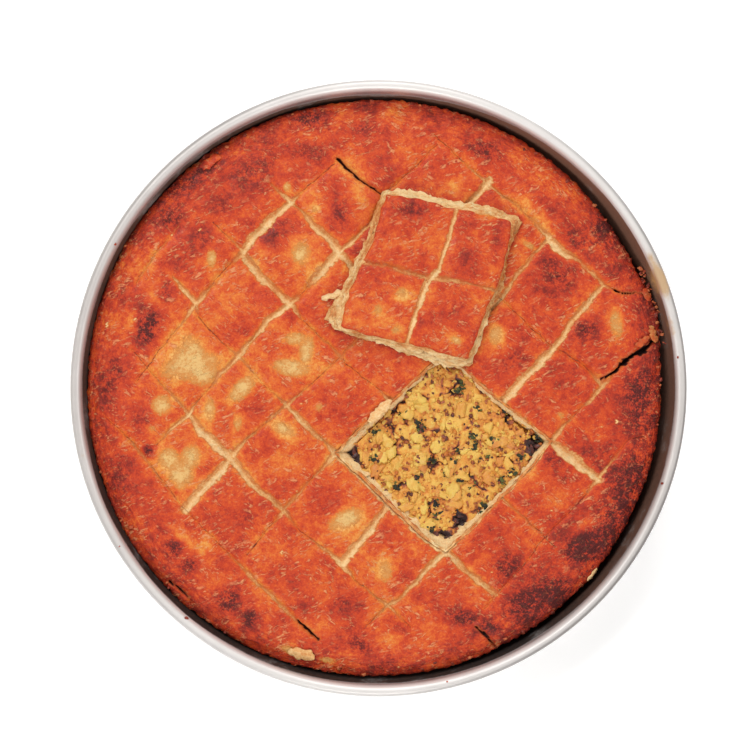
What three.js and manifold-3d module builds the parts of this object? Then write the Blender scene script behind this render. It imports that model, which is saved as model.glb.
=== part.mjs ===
// A round potato borek in its aluminium baking tin, with one block of four squares lifted off and laid on top.
// Millimetres, +Z up. The origin is the centre of the tin's underside. Seen from above with +Y upwards, the
// hole that the block left is right of the middle and the block lies above it. The pie is a shell of pastry
// round a potato filling. Its top is scored with knife cuts in a diamond grid.
import * as THREE from "three";
import { mergeVertices } from "three/addons/utils/BufferGeometryUtils.js";
import Module from "manifold-3d";

const wasm = await Module();
wasm.setup();

// ---- driving dimensions ----
const TIN = {
  rimRadius: 180,
  height: 45,
  flare: 9.5, // degrees that the wall leans out
  sheet: 1.5,
  beadRadius: 3,
  cornerRadius: 9,
  sides: 60,
};
const PIE = {
  radius: 169.2,
  eastShrink: 2.6, // the pie has shrunk from the tin's wall on its +X side
  squash: 0.3,
  rimWave: 0.35,
  bulge: { angle: 15, width: 6, reach: 3.4 }, // crisp edge that still reaches the wall, in degrees and mm
  underside: TIN.sheet + 0.3,
  edgeTop: 35, // top of the pastry where its shoulder starts to round over
  dome: 4.5,
  shoulderDrop: 3.2,
  shoulderStart: 0.93, // share of the radius
  footShrink: 8.5,
  topPastry: 8,
  sidePastry: 7,
  basePastry: 4,
  sides: 48,
};
const GAP = 0.3; // between pieces that touch
const HOLE = { ledge: 2.6, wave: 0.7, sidePoints: 9 };
const FILLING = {
  perSide: 7,
  size: [10, 14.5],
  rise: [-2.4, 0.4],
  herbs: 16,
  herbSize: [4.4, 2.8, 0.9],
  seed: 7,
};

// Knife cuts in the top pastry. Each is a list of places that it runs through, with how wide it gapes there.
const CUTS = {
  a1: [
    [-161, -17, 0.9], [-141.5, -35.5, 2.3], [-116, -68.5, 1.2],
    [-75, -110, 2.3], [-50.5, -133.5, 2.3], [-35, -147.5, 2.3],
  ],
  a2: [
    [-145.5, 23.5, 0.9], [-111.5, -14, 1.7], [-104.5, -24.5, 4.7], [-87.5, -39, 5.2], [-56.5, -70, 3.5],
    [-46, -83.5, 1.2], [-21.5, -102.5, 4.1], [4.5, -126.5, 2], [19.5, -141, 0.6],
  ],
  a3: [
    [-121, 65.5, 1.7], [-107, 49.5, 2.3], [-93, 27.5, 0.7], [-53.5, -9.5, 1.7], [-24.5, -38, 3.5],
    [5.5, -66.5, 4.7], [39.5, -95, 4.1], [53.5, -108.5, 3.5], [69.5, -121, 2.3],
  ],
  a4: [
    [-97.5, 97.5, 0.7], [-81, 82.5, 1.5], [-77, 74.5, 4.7], [-51, 49.5, 4.1], [-22, 19, 2.3],
    [1, -1.5, 1.2], [69.5, -61.5, 1.7], [97.5, -87, 1.3], [104, -94, 0.9],
  ],
  a5: [
    [-63.5, 120.5, 1.2], [-52, 110, 2.3], [-38, 95.5, 3.5], [-25.5, 84.5, 4.7], [-15, 70.5, 3.5],
    [58.5, 3, 1.7], [100.5, -31, 2.9], [118, -44.5, 5.8], [129.5, -54, 3.5],
  ],
  a6: [
    [-25, 135, 1.2], [-8.5, 120.5, 2.3], [72.5, 52, 1.2],
    [103.5, 23.5, 2.3], [122, 12.5, 2.9], [131.5, 2.5, 3.5],
  ],
  a7: [
    [33, 149, 1.2], [64, 120, 1.7], [91.5, 98, 2.3], [105, 83, 5.2],
    [118, 75, 2.3], [132.5, 61.5, 2.3], [142, 55.5, 1.2],
  ],
  b1: [[-143, 61, 0.7], [-131, 78.5, 1.2], [-117, 96, 0.7]],
  b2: [
    [-26, 132, 0.7], [-50.5, 110, 2.9], [-75, 87, 4.7], [-80, 79.5, 2.9],
    [-94, 65.5, 2.3], [-107.5, 49.5, 2.3], [-116, 37.5, 1.2], [-142, 4, 0.9],
  ],
  b3: [
    [35, 143.5, 0.9], [5.5, 116, 1.2], [-6.5, 94.5, 1.7], [-25.5, 77.5, 5.2], [-36.5, 65.5, 5.2],
    [-52, 49.5, 3.5], [-81.5, 19.5, 2.9], [-111.5, -15.5, 2.3], [-130.5, -34, 1.2],
  ],
  b4: [
    [64.5, 121.5, 4.7], [53.5, 108.5, 4.1], [-22, 19, 1.7], [-53.5, -9.5, 2.3],
    [-83.5, -36, 2.3], [-102, -57.5, 5.2], [-113.5, -71, 4.7],
  ],
  b5: [
    [100.5, 89, 2.3], [73, 53.5, 2.3], [31.5, 13.5, 2.3], [10.5, -6.5, 2.9],
    [-24.5, -38, 2.9], [-56, -72, 2.3], [-77.5, -99, 1.2],
  ],
  b6: [
    [132.5, 61, 1.7], [124, 51.5, 3.5], [103.5, 24, 3.5],
    [73, -7.5, 4.1], [5.5, -67.5, 4.1], [-21, -102.5, 4.1],
  ],
  b7: [
    [160, 28, 2.3], [149, 19, 3.5], [131.5, 0.5, 2.9], [116.5, -14, 1.2], [101, -30.5, 2.9],
    [75.5, -60, 2.3], [39.5, -95, 3.5], [14, -122.5, 2], [-8, -141, 0.7],
  ],
  b8: [[156, -28.5, 0.7], [129.5, -52, 2.3], [100, -85, 1.3], [68, -122.5, 1.7], [62, -130, 0.9]],
};
// The block came out between these four cuts, named in order round the hole.
const HOLE_SIDES = ["b5", "a5", "b7", "a3"];
// Places where a cut or the baking has split the pastry deeper, written like the cuts.
const SPLITS = [
  { path: [[-47, -136.5, 1.6], [-41, -142, 2.8], [-35, -147.5, 1.6]], depth: 6 },
  { path: [[-24, 134, 2], [-8.5, 120.5, 2.6], [2, 113, 1.6]], depth: 5.5 },
  { path: [[137, 8.5, 2], [149, 19, 3.6], [163, 29, 2.4]], depth: 7 },
  { path: [[141, 55.5, 1], [149, 56, 1.5], [157, 56.5, 1]], depth: 5 },
  { path: [[57, -140, 1.4], [64, -147, 2], [71, -155, 1.2]], depth: 6 },
  { path: [[-123.5, -113, 0.8], [-118, -118, 1.4], [-111.5, -123, 0.8]], depth: 4.5 },
];
const CUT = { shoulder: 1.8, shoulderDepth: 0.8, baseDepth: 1.1, depthPerGape: 0.65 };
// Loose ends of pastry that stand up from the top: middle, length, width and thickness, and turn in degrees.
const FLAPS = [
  { at: [2, -13.5], size: [18, 6, 3.4], turn: 45 },
  { at: [-45, -156], size: [15, 7, 2.8], turn: -18 },
  { at: [-99, 129], size: [15, 7, 2.6], turn: 40 },
];

// The lifted block: the four sides of its browned top and of the paler, wider layers at its foot, each a line of
// points from corner to corner, and its two cuts.
const BLOCK = {
  top: [
    [[4.5, 112.5], [14, 112], [27, 109.5], [40, 105], [53, 103], [66, 100.5], [78, 97]],
    [[78, 97], [76, 84], [73, 71.5], [69.5, 60], [63.5, 47], [57.5, 30.5], [52, 17]],
    [[52, 17], [41, 19.5], [27, 23.5], [15, 26.5], [4, 29], [-9, 32], [-22, 35.5]],
    [[-22, 35.5], [-20.5, 43], [-17, 56], [-9, 73.5], [-3, 86], [0.5, 100], [4.5, 112.5]],
  ],
  foot: [
    [[2.5, 115.5], [13, 116.5], [27, 113.5], [41, 110], [54, 109], [68, 105.5], [84.5, 98]],
    [[84.5, 98], [78.5, 87], [74.5, 74], [71.5, 59], [65.5, 46.5], [60.5, 30], [54, 13.5]],
    [[54, 13.5], [43, 12], [27, 16.5], [14, 21.5], [1, 26], [-12, 30], [-26, 34.5]],
    [[-26, 34.5], [-31.5, 41], [-23.5, 55.5], [-13, 73.5], [-6.5, 88], [-2.5, 103], [2.5, 115.5]],
  ],
  thickness: 8.2,
  sidePoints: 12,
  shred: { at: [-26, 54.5], size: [17, 4.6, 1.8], turn: 14 },
  cuts: [
    [[45.5, 105, 2.3], [40, 84.5, 2.9], [35, 69.5, 2.9], [29, 62.5, 4.1], [22.5, 45.5, 3.5], [16.5, 25.5, 2.3]],
    [[-10, 74, 2.3], [6.5, 71, 2.9], [28, 65, 3.5], [42.5, 63, 2.3], [59, 59.5, 2], [70, 56.5, 2.3]],
  ],
};

// ---- small tools ----
const TAU = Math.PI * 2;
const lerp = (a, b, t) => a + (b - a) * t;
const smooth = (t) => t * t * (3 - 2 * t);

// A seeded draw of numbers from 0 to 1.
function makeDraw(seed) {
  let state = seed;
  return () => {
    state = (state * 1664525 + 1013904223) % 4294967296;
    return state / 4294967296;
  };
}

// A wavy line of height about 1 that closes after one turn, for ragged outlines.
function wave(angle, seed) {
  return (
    0.45 * Math.sin(5 * angle + seed) +
    0.35 * Math.sin(11 * angle + 2.3 * seed) +
    0.3 * Math.sin(19 * angle + 4.1 * seed)
  );
}

// A closed BufferGeometry from rings of points: the top centre, rings down the outside and the bottom centre.
function loft(topCentre, rings, bottomCentre) {
  const count = rings[0].length;
  const points = [topCentre, ...rings.flat(), bottomCentre];
  const last = points.length - 1;
  const faces = [];
  for (let k = 0; k < count; k++) {
    const next = (k + 1) % count;
    faces.push(0, 1 + k, 1 + next);
    for (let ring = 0; ring < rings.length - 1; ring++) {
      const upper = 1 + ring * count;
      const lower = upper + count;
      faces.push(upper + k, lower + k, lower + next, upper + k, lower + next, upper + next);
    }
    const base = 1 + (rings.length - 1) * count;
    faces.push(base + k, last, base + next);
  }
  const geometry = new THREE.BufferGeometry();
  geometry.setAttribute("position", new THREE.Float32BufferAttribute(points.flat(), 3));
  geometry.setIndex(faces);
  return geometry;
}

// A three.js geometry as a solid that can be joined and cut.
function toSolid(geometry, matrix = new THREE.Matrix4()) {
  const bare = new THREE.BufferGeometry();
  bare.setAttribute("position", geometry.getAttribute("position").clone());
  bare.setIndex(geometry.index);
  const merged = mergeVertices(bare.applyMatrix4(matrix), 1e-4);
  const mesh = new wasm.Mesh({
    numProp: 3,
    vertProperties: new Float32Array(merged.attributes.position.array),
    triVerts: new Uint32Array(merged.index.array),
  });
  const solid = new wasm.Manifold(mesh);
  if (solid.volume() > 0) return solid;
  for (let k = 0; k < mesh.triVerts.length; k += 3)
    [mesh.triVerts[k], mesh.triVerts[k + 1]] = [mesh.triVerts[k + 1], mesh.triVerts[k]];
  return new wasm.Manifold(mesh);
}

// The one largest body of a solid, as a BufferGeometry. Scraps that a cut leaves loose are dropped.
function toGeometry(solid) {
  const bodies = solid.decompose().sort((a, b) => b.volume() - a.volume());
  const mesh = bodies[0].getMesh();
  const geometry = new THREE.BufferGeometry();
  geometry.setAttribute("position", new THREE.BufferAttribute(mesh.vertProperties, 3));
  geometry.setIndex(new THREE.BufferAttribute(mesh.triVerts, 1));
  geometry.computeVertexNormals();
  return geometry;
}

// ---- the pie's own form ----
// Radius of the pie's outline at an angle from +X.
function pieRadius(angle) {
  const fromBulge = THREE.MathUtils.radToDeg(angle > Math.PI ? angle - TAU : angle) - PIE.bulge.angle;
  return (
    PIE.radius -
    PIE.eastShrink * Math.cos(angle) -
    PIE.squash * Math.cos(2 * angle) +
    PIE.rimWave * wave(angle, 1.7) +
    PIE.bulge.reach * Math.exp(-((fromBulge / PIE.bulge.width) ** 2))
  );
}

// Height of the pie's top, before the cuts: a low dome with soft swells that rounds over at its shoulder.
function pieTop(x, y) {
  const share = Math.hypot(x, y) / pieRadius(Math.atan2(y, x));
  const broad = 0.5 * Math.sin(x / 17 + 1) * Math.sin(y / 15);
  const slanted = 0.35 * Math.sin((x + y) / 11) * Math.sin((x - y) / 13);
  const over = Math.max(0, (share - PIE.shoulderStart) / (1 - PIE.shoulderStart));
  return PIE.edgeTop + PIE.dome * (1 - share * share) + broad + slanted - PIE.shoulderDrop * over * over;
}

// A ring of the pie at a share of its radius, pulled in by inset. Its height is fixed or a function of x and y.
function pieRing(share, inset, height, sides = PIE.sides) {
  return Array.from({ length: sides }, (_, k) => {
    const angle = (k / sides) * TAU;
    const radius = pieRadius(angle) * share - inset;
    const [x, y] = [radius * Math.cos(angle), radius * Math.sin(angle)];
    return [x, y, typeof height === "function" ? height(x, y) : height];
  });
}

// The whole pie, or its inside when pastry is 1: a dome with tapering sides.
function pieBody(pastry, clearance, sides, shares) {
  const drop = pastry * PIE.topPastry + clearance;
  const side = pastry * PIE.sidePastry + clearance;
  const floor = PIE.underside + pastry * PIE.basePastry + clearance;
  const top = (x, y) => pieTop(x, y) - drop;
  const rings = shares.map((share) => pieRing(share, share * side, top, sides));
  const brim = PIE.edgeTop - PIE.shoulderDrop - drop;
  for (const [fall, shrink] of [[0.22, 0.28], [0.6, 0.6], [0.92, 0.98], [1, 1.45]])
    rings.push(pieRing(1, side + PIE.footShrink * shrink, lerp(brim, floor, fall), sides));
  return loft([0, 0, top(0, 0)], rings, [0, 0, floor]);
}

// The pie's outer form, raised by an amount.
function pieSolid(lift) {
  const shape = pieBody(0, 0, PIE.sides, [0.3, 0.58, 0.8, 0.93, 0.975, 1]);
  return toSolid(shape, new THREE.Matrix4().makeTranslation(0, 0, lift));
}

// ---- knife cuts ----
// A place on a line of points, from 0 at its start to 1 at its end. On a cut it also has the cut's gape.
function alongLine(line, t) {
  const place = Math.min(Math.max(t, 0), 0.9999) * (line.length - 1);
  const k = Math.floor(place);
  return line[k].map((value, axis) => lerp(value, line[k + 1][axis], place - k));
}

// The wedge that a cut takes out of a surface: shallow shoulders and a deeper middle, closing at both ends.
function cutWedge(cut, surface, fixedDepth) {
  const last = cut.length - 1;
  const rings = cut.map(([x, y, gape], k) => {
    const [x1, y1] = cut[Math.max(k - 1, 0)];
    const [x2, y2] = cut[Math.min(k + 1, last)];
    const run = Math.hypot(x2 - x1, y2 - y1);
    const [nx, ny] = [-(y2 - y1) / run, (x2 - x1) / run];
    const close = k === 0 || k === last ? 0.3 : 1;
    const half = (gape / 2) * close;
    const depth = (fixedDepth ?? CUT.baseDepth + CUT.depthPerGape * gape) * close;
    const shoulder = half + CUT.shoulder * close;
    const level = surface(x, y);
    const section = [
      [-shoulder, 0.25],
      [-half, -CUT.shoulderDepth * close],
      [0, -depth],
      [half, -CUT.shoulderDepth * close],
      [shoulder, 0.25],
      [shoulder, 7],
      [-shoulder, 7],
    ];
    return section.map(([across, up]) => [x + nx * across, y + ny * across, level + up]);
  });
  const mean = (ring, axis) => ring.reduce((sum, point) => sum + point[axis], 0) / ring.length;
  const middle = (ring) => [0, 1, 2].map((axis) => mean(ring, axis));
  return toSolid(loft(middle(rings[0]), rings, middle(rings[last])));
}

// A loose end of pastry: a flat rounded scrap at a height.
function flapSolid(flap, height) {
  const scrap = new THREE.SphereGeometry(0.5, 9, 5);
  const matrix = new THREE.Matrix4().compose(
    new THREE.Vector3(...flap.at, height),
    new THREE.Quaternion().setFromEuler(new THREE.Euler(0, 0, THREE.MathUtils.degToRad(flap.turn))),
    new THREE.Vector3(...flap.size),
  );
  scrap.rotateX(Math.PI / 2);
  return toSolid(scrap, matrix);
}

// Where two cuts cross, as a share along the first one.
function crossing(first, second) {
  let best = [Infinity, 0];
  for (let i = 0; i <= 400; i++)
    for (let j = 0; j <= 100; j++) {
      const [ax, ay] = alongLine(first, i / 400);
      const [bx, by] = alongLine(second, j / 100);
      const distance = Math.hypot(ax - bx, ay - by);
      if (distance < best[0]) best = [distance, i / 400];
    }
  return best[1];
}

// The four-sided outline between the cuts that bound the hole, grown outwards by an amount and ragged by wave.
function holeOutline(grow, ragged, height) {
  const corners = HOLE_SIDES.map((name, k) => {
    const cut = CUTS[name];
    const before = CUTS[HOLE_SIDES[(k + 3) % 4]];
    return alongLine(cut, crossing(cut, before));
  });
  const centre = [0, 1].map((axis) => corners.reduce((sum, corner) => sum + corner[axis] / 4, 0));
  const outline = [];
  HOLE_SIDES.forEach((name, k) => {
    const cut = CUTS[name];
    const start = crossing(cut, CUTS[HOLE_SIDES[(k + 3) % 4]]);
    const end = crossing(cut, CUTS[HOLE_SIDES[(k + 1) % 4]]);
    for (let j = 0; j < HOLE.sidePoints; j++) {
      const [x, y] = alongLine(cut, lerp(start, end, j / HOLE.sidePoints));
      const reach = Math.hypot(x - centre[0], y - centre[1]);
      const ripple = ragged * wave((TAU * (k + j / HOLE.sidePoints)) / 4, 2.6 + grow);
      const stretch = 1 + (grow + ripple) / reach;
      const [px, py] = [centre[0] + (x - centre[0]) * stretch, centre[1] + (y - centre[1]) * stretch];
      outline.push([px, py, height(px, py)]);
    }
  });
  return { outline, centre };
}

// A plug through the hole, wider at the top than at its foot, where pale layers stick out into the hole.
function holePlug(levels) {
  const rings = levels.map(
    ([grow, ragged, rise]) => holeOutline(grow, ragged, (x, y) => pieTop(x, y) + rise).outline,
  );
  const { centre } = holeOutline(0, 0, () => 0);
  const level = pieTop(...centre);
  const [top, foot] = [levels[0][2], levels[levels.length - 1][2]];
  return toSolid(loft([...centre, level + top], rings, [...centre, level + foot]));
}

// ---- pieces ----
// Spun aluminium tin with a flat floor, a leaning wall and a rolled bead round its rim.
function tinGeometry() {
  const lean = Math.tan(THREE.MathUtils.degToRad(TIN.flare));
  const beadCentre = [TIN.rimRadius - TIN.beadRadius, TIN.height - TIN.beadRadius];
  const outerFoot = beadCentre[0] - TIN.beadRadius - beadCentre[1] * lean;
  const arc = (centre, radius, from, to, steps) =>
    Array.from({ length: steps + 1 }, (_, k) => {
      const angle = THREE.MathUtils.degToRad(lerp(from, to, k / steps));
      return [centre[0] + radius * Math.cos(angle), centre[1] + radius * Math.sin(angle)];
    });
  const corner = TIN.cornerRadius;
  const cornerCentre = [outerFoot - corner + corner * lean, corner];
  const outside = [[0, 0], ...arc(cornerCentre, corner, -90, -TIN.flare, 3)];
  const bead = arc(beadCentre, TIN.beadRadius, -160, 160, 8);
  const inside = [...arc(cornerCentre, corner - TIN.sheet, -TIN.flare, -90, 2), [0, TIN.sheet]];
  const profile = [...outside, ...bead, ...inside].map(([radius, height]) => new THREE.Vector2(radius, height));
  const geometry = new THREE.LatheGeometry(profile, TIN.sides);
  geometry.rotateX(Math.PI / 2);
  return toGeometry(toSolid(geometry));
}

// Pastry shell: the outer form less the room for the filling, the lifted block's hole, the cuts and the splits.
function crustGeometry() {
  const room = toSolid(pieBody(1, 0, 40, [0.35, 0.7, 0.92, 1]));
  const hole = holePlug([
    [2.2, 0, 6],
    [1.4, 0.3, 0],
    [-0.4, 0.5, -1.6],
    [-HOLE.ledge, HOLE.wave, -3.4],
    [-HOLE.ledge, HOLE.wave, -PIE.topPastry - 2],
  ]);
  const wedges = Object.values(CUTS).map((cut) => cutWedge(cut, pieTop));
  const splits = SPLITS.map(({ path, depth }) => cutWedge(path, pieTop, depth));
  const flaps = FLAPS.map((flap) => flapSolid(flap, pieTop(...flap.at) + 0.4));
  const opened = wasm.Manifold.union([room, hole, ...wedges, ...splits]);
  const shell = pieSolid(0).subtract(opened);
  return toGeometry(shell.add(wasm.Manifold.union(flaps)));
}

// Crumbled potato that fills the pastry. In the hole it is heaped with true-size lumps and flecks of herb.
function fillingGeometry() {
  const core = toSolid(pieBody(1, GAP, 40, [0.35, 0.7, 0.92, 1]));
  const draw = makeDraw(FILLING.seed);
  const { outline, centre } = holeOutline(-HOLE.ledge - 1, 0, () => 0);
  const corners = [0, 1, 2, 3].map((k) => outline[k * HOLE.sidePoints]);
  // A point of the hole from two shares, across and along it.
  const inHole = (u, v) =>
    [0, 1].map((axis) =>
      lerp(lerp(corners[0][axis], corners[1][axis], u), lerp(corners[3][axis], corners[2][axis], u), v),
    );
  const bed = (x, y) => pieTop(x, y) - PIE.topPastry - GAP;
  const matrixAt = (x, y, z, scale, tilt) =>
    new THREE.Matrix4().compose(
      new THREE.Vector3(x, y, z),
      new THREE.Quaternion().setFromEuler(new THREE.Euler(...tilt.map((most) => (draw() - 0.5) * most))),
      scale,
    );
  const lumps = [];
  const shapes = [new THREE.IcosahedronGeometry(0.5, 0), new THREE.BoxGeometry(0.8, 0.8, 0.8)];
  for (let i = 0; i < FILLING.perSide; i++)
    for (let j = 0; j < FILLING.perSide; j++) {
      const share = [i, j].map((k) => (k + 0.15 + 0.7 * draw()) / FILLING.perSide);
      const [x, y] = inHole(...share);
      const size = lerp(FILLING.size[0], FILLING.size[1], draw());
      const scale = new THREE.Vector3(size, size * lerp(0.7, 1, draw()), size * 0.75);
      const shape = shapes[draw() < 0.5 ? 0 : 1];
      const height = bed(x, y) + lerp(...FILLING.rise, draw());
      lumps.push(toSolid(shape, matrixAt(x, y, height, scale, [1.6, 1.6, 6])));
    }
  const herbs = [];
  for (let k = 0; k < FILLING.herbs; k++) {
    const [x, y] = inHole(0.06 + 0.88 * draw(), 0.06 + 0.88 * draw());
    const fleck = new THREE.BoxGeometry(...FILLING.herbSize);
    const turned = matrixAt(x, y, bed(x, y) + 2.4 + draw(), new THREE.Vector3(1, 1, 1), [0.8, 0.8, 6]);
    herbs.push(toSolid(fleck, turned));
  }
  const heap = wasm.Manifold.union([...lumps, ...herbs]).intersect(
    holePlug([
      [-HOLE.ledge - 1.2, HOLE.wave, -2],
      [-HOLE.ledge - 1.2, HOLE.wave, -PIE.topPastry - 4],
    ]),
  );
  return toGeometry(core.add(heap));
}

// The lifted block: browned and pillowed on top, with ragged pale layers that spread towards its foot. Its
// underside follows the pastry that it lies on.
function blockGeometry() {
  const centre = [0, 1].map((axis) => BLOCK.top.reduce((sum, side) => sum + side[0][axis] / 4, 0));
  const ground = (x, y) => pieTop(x, y) + GAP;
  // Ring between the foot's outline and the top's, pulled in to the centre by shrink, ragged, at a height.
  const ring = (share, shrink, ragged, height, seed) => {
    const points = [];
    for (let side = 0; side < 4; side++)
      for (let k = 0; k < BLOCK.sidePoints; k++) {
        const t = k / BLOCK.sidePoints;
        const [low, high] = [BLOCK.foot, BLOCK.top].map((outline) => alongLine(outline[side], t));
        const raw = [0, 1].map((axis) => lerp(low[axis], high[axis], share));
        const reach = Math.hypot(raw[0] - centre[0], raw[1] - centre[1]);
        const rounding = k === 0 ? 1 : 0;
        const grow = shrink + (ragged * wave((TAU * (side + t)) / 4, seed) - rounding) / reach;
        const [x, y] = [0, 1].map((axis) => centre[axis] + (raw[axis] - centre[axis]) * grow);
        points.push([x, y, height(x, y)]);
      }
    return points.reverse();
  };
  const above = (rise) => (x, y) => ground(x, y) + rise;
  const top = BLOCK.thickness;
  const rings = [
    ring(1, 0.35, 0, above(top + 0.9), 0),
    ring(1, 0.7, 0, above(top + 0.6), 0),
    ring(1, 0.9, 0, above(top + 0.3), 0),
    ring(1, 0.98, 0.1, above(top - 0.2), 1),
    ring(0.97, 1, 0.3, above(top - 1.2), 1),
    ring(0.62, 1, 0.5, above(top - 1.9), 2),
    ring(0.6, 1, 0.8, above(top - 3.6), 3),
    ring(0.25, 1, 0.9, above(top - 4.1), 4),
    ring(0.2, 1, 1, above(1.6), 5),
    ring(0, 1, 1.1, above(1.2), 6),
    ring(0.03, 1, 1, above(-2), 6),
  ];
  const level = ground(...centre);
  const body = toSolid(loft([...centre, level + top + 1], rings, [...centre, level - 2]));
  const surface = (x, y) => ground(x, y) + top + 0.4;
  const wedges = BLOCK.cuts.map((cut) => cutWedge(cut, surface));
  const shred = flapSolid(BLOCK.shred, ground(...BLOCK.shred.at) + 2.4);
  return toGeometry(body.subtract(wasm.Manifold.union(wedges)).add(shred).subtract(pieSolid(GAP)));
}

// ---- the scene graph ----
const FINISH = {
  tin: { color: 0xc9c4bd, roughness: 0.35, metalness: 1 },
  crust: { color: 0xc9552a, roughness: 0.4, metalness: 0 },
  filling: { color: 0xdb9b3e, roughness: 0.6, metalness: 0 },
  block: { color: 0xd65a28, roughness: 0.4, metalness: 0 },
};

function piece(name, geometry, finish) {
  const mesh = new THREE.Mesh(geometry, new THREE.MeshStandardMaterial(finish));
  mesh.name = name;
  return mesh;
}

const borek = new THREE.Group();
borek.add(
  piece("baking_tin", tinGeometry(), FINISH.tin),
  piece("pastry_crust", crustGeometry(), FINISH.crust),
  piece("potato_filling", fillingGeometry(), FINISH.filling),
  piece("lifted_block", blockGeometry(), FINISH.block),
);

export default borek;
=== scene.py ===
import math
import random

import bmesh
import bpy
import numpy as np
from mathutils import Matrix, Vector


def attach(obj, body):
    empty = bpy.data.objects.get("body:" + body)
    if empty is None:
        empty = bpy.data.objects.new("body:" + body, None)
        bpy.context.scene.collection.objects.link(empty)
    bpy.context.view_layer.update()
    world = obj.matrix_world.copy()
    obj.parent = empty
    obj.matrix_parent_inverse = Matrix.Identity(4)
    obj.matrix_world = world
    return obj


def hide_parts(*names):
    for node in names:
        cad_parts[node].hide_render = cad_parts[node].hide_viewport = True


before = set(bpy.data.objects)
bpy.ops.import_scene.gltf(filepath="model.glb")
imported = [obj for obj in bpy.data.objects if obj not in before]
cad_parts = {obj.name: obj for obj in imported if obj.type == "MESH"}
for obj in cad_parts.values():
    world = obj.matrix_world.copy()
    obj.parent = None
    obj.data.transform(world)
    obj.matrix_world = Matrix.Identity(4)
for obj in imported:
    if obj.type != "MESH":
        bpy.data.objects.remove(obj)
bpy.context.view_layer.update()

# ---------------------------------------------------------------- the baking tin
# A shallow round tin spun from aluminium sheet: flat floor, a wall that leans out, a rolled bead as its
# rim. Its profile is drawn point by point and spun. Fat and juice have baked on in a brown film inside, which
# is also painted darker as shade, to near black in the gap by the crust. The bead has gone dull and pale with
# use, and its colour is painted darker at the left and the right as shade.
MM = 0.001
TIN_BEAD = (177, 42)
BEAD_RADIUS = 3
TIN_CORNER = (159.5, 9)


def begin(add, **size):
    """Adds a primitive over the origin with nothing else selected, and returns it."""
    bpy.ops.object.select_all(action="DESELECT")
    add(location=(0, 0, 0), **size)
    return bpy.context.object


def edit_all():
    """Enters edit mode with everything selected."""
    bpy.ops.object.mode_set(mode="EDIT")
    bpy.ops.mesh.select_all(action="SELECT")


def finish_mesh(name):
    """Turns all faces outwards, leaves edit mode and names the piece."""
    edit_all()
    bpy.ops.mesh.normals_make_consistent(inside=False)
    bpy.ops.object.mode_set(mode="OBJECT")
    piece = bpy.context.object
    piece.name = piece.data.name = name
    bpy.ops.object.shade_smooth()
    return piece


def arc(centre, radius, first, last, steps):
    """Points of an arc in the tin's profile, from one angle to another in degrees."""
    turns = [math.radians(first + (last - first) * k / steps) for k in range(steps + 1)]
    return [(centre[0] + radius * math.cos(turn), centre[1] + radius * math.sin(turn)) for turn in turns]


def inner_wall(height):
    """Radius of the wall's inner face at a height."""
    return 166.9 + 0.2064 * (height - 7.8)


tin_profile = [(0, 0)] + arc(TIN_CORNER, 9, -90, -9.5, 8) + arc(TIN_BEAD, BEAD_RADIUS, -160, 160, 22)
tin_profile += [(inner_wall(height), height) for height in (*range(42, 33, -1), 31, 26, 18)]
tin_profile += arc(TIN_CORNER, 7.5, -9.5, -90, 6) + [(120, 1.5), (60, 1.5), (0, 1.5)]
begin(bpy.ops.mesh.primitive_plane_add, size=MM)
edit_all()
bpy.ops.mesh.merge(type="CENTER")
for (x1, z1), (x2, z2) in zip(tin_profile, tin_profile[1:]):
    move = ((x2 - x1) * MM, 0, (z2 - z1) * MM)
    bpy.ops.mesh.extrude_region_move(TRANSFORM_OT_translate={"value": move})
bpy.ops.mesh.select_all(action="SELECT")
bpy.ops.mesh.spin(steps=168, angle=math.tau, center=(0, 0, 0), axis=(0, 0, 1))
bpy.ops.mesh.select_all(action="SELECT")
bpy.ops.mesh.remove_doubles(threshold=1e-6)
tin = finish_mesh("spun_tin")


def points_of(piece):
    """All points of a piece in mm, as an array of rows."""
    flat = np.empty(len(piece.data.vertices) * 3, dtype=np.float32)
    piece.data.vertices.foreach_get("co", flat)
    return flat.reshape(-1, 3).astype(float) / MM


def set_points(piece, points):
    """Puts the points of a piece at places in mm."""
    piece.data.vertices.foreach_set("co", (points * MM).astype(np.float32).ravel())
    piece.data.update()


def paint(piece, name, values):
    """Keeps one value per point under a name that the material reads."""
    layer = piece.data.attributes.new(name, "FLOAT", "POINT")
    layer.data.foreach_set("value", np.asarray(values, dtype=np.float32))


def ease(low, high, value):
    """0 below low, 1 above high and smooth between, or the other way round where low is the larger."""
    share = np.clip((value - low) / (high - low), 0, 1)
    return share * share * (3 - 2 * share)


def ripple(x, y, size, seed):
    """A smooth random field over x and y with features of a size in mm, mostly between -1 and 1."""
    draw = random.Random(seed)
    total = 0
    for _ in range(8):
        turn, length = draw.uniform(0, math.tau), size * draw.uniform(0.7, 1.7)
        shift = draw.uniform(0, math.tau)
        total = total + np.sin((x * math.cos(turn) + y * math.sin(turn)) * math.tau / length + shift)
    return total / 3.2


def spots(listed, x, y):
    """Soft marks at listed places: x, y, length, width, turn in degrees, strength. The strongest counts."""
    total = np.zeros(x.shape)
    for sx, sy, length, width, turn, strength in listed:
        c, s = math.cos(math.radians(turn)), math.sin(math.radians(turn))
        along, across = (x - sx) * c + (y - sy) * s, (y - sy) * c - (x - sx) * s
        far = (along / length) ** 2 + (across / width) ** 2
        total = np.maximum(total, strength * np.exp(-2.8 * far))
    return total
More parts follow.
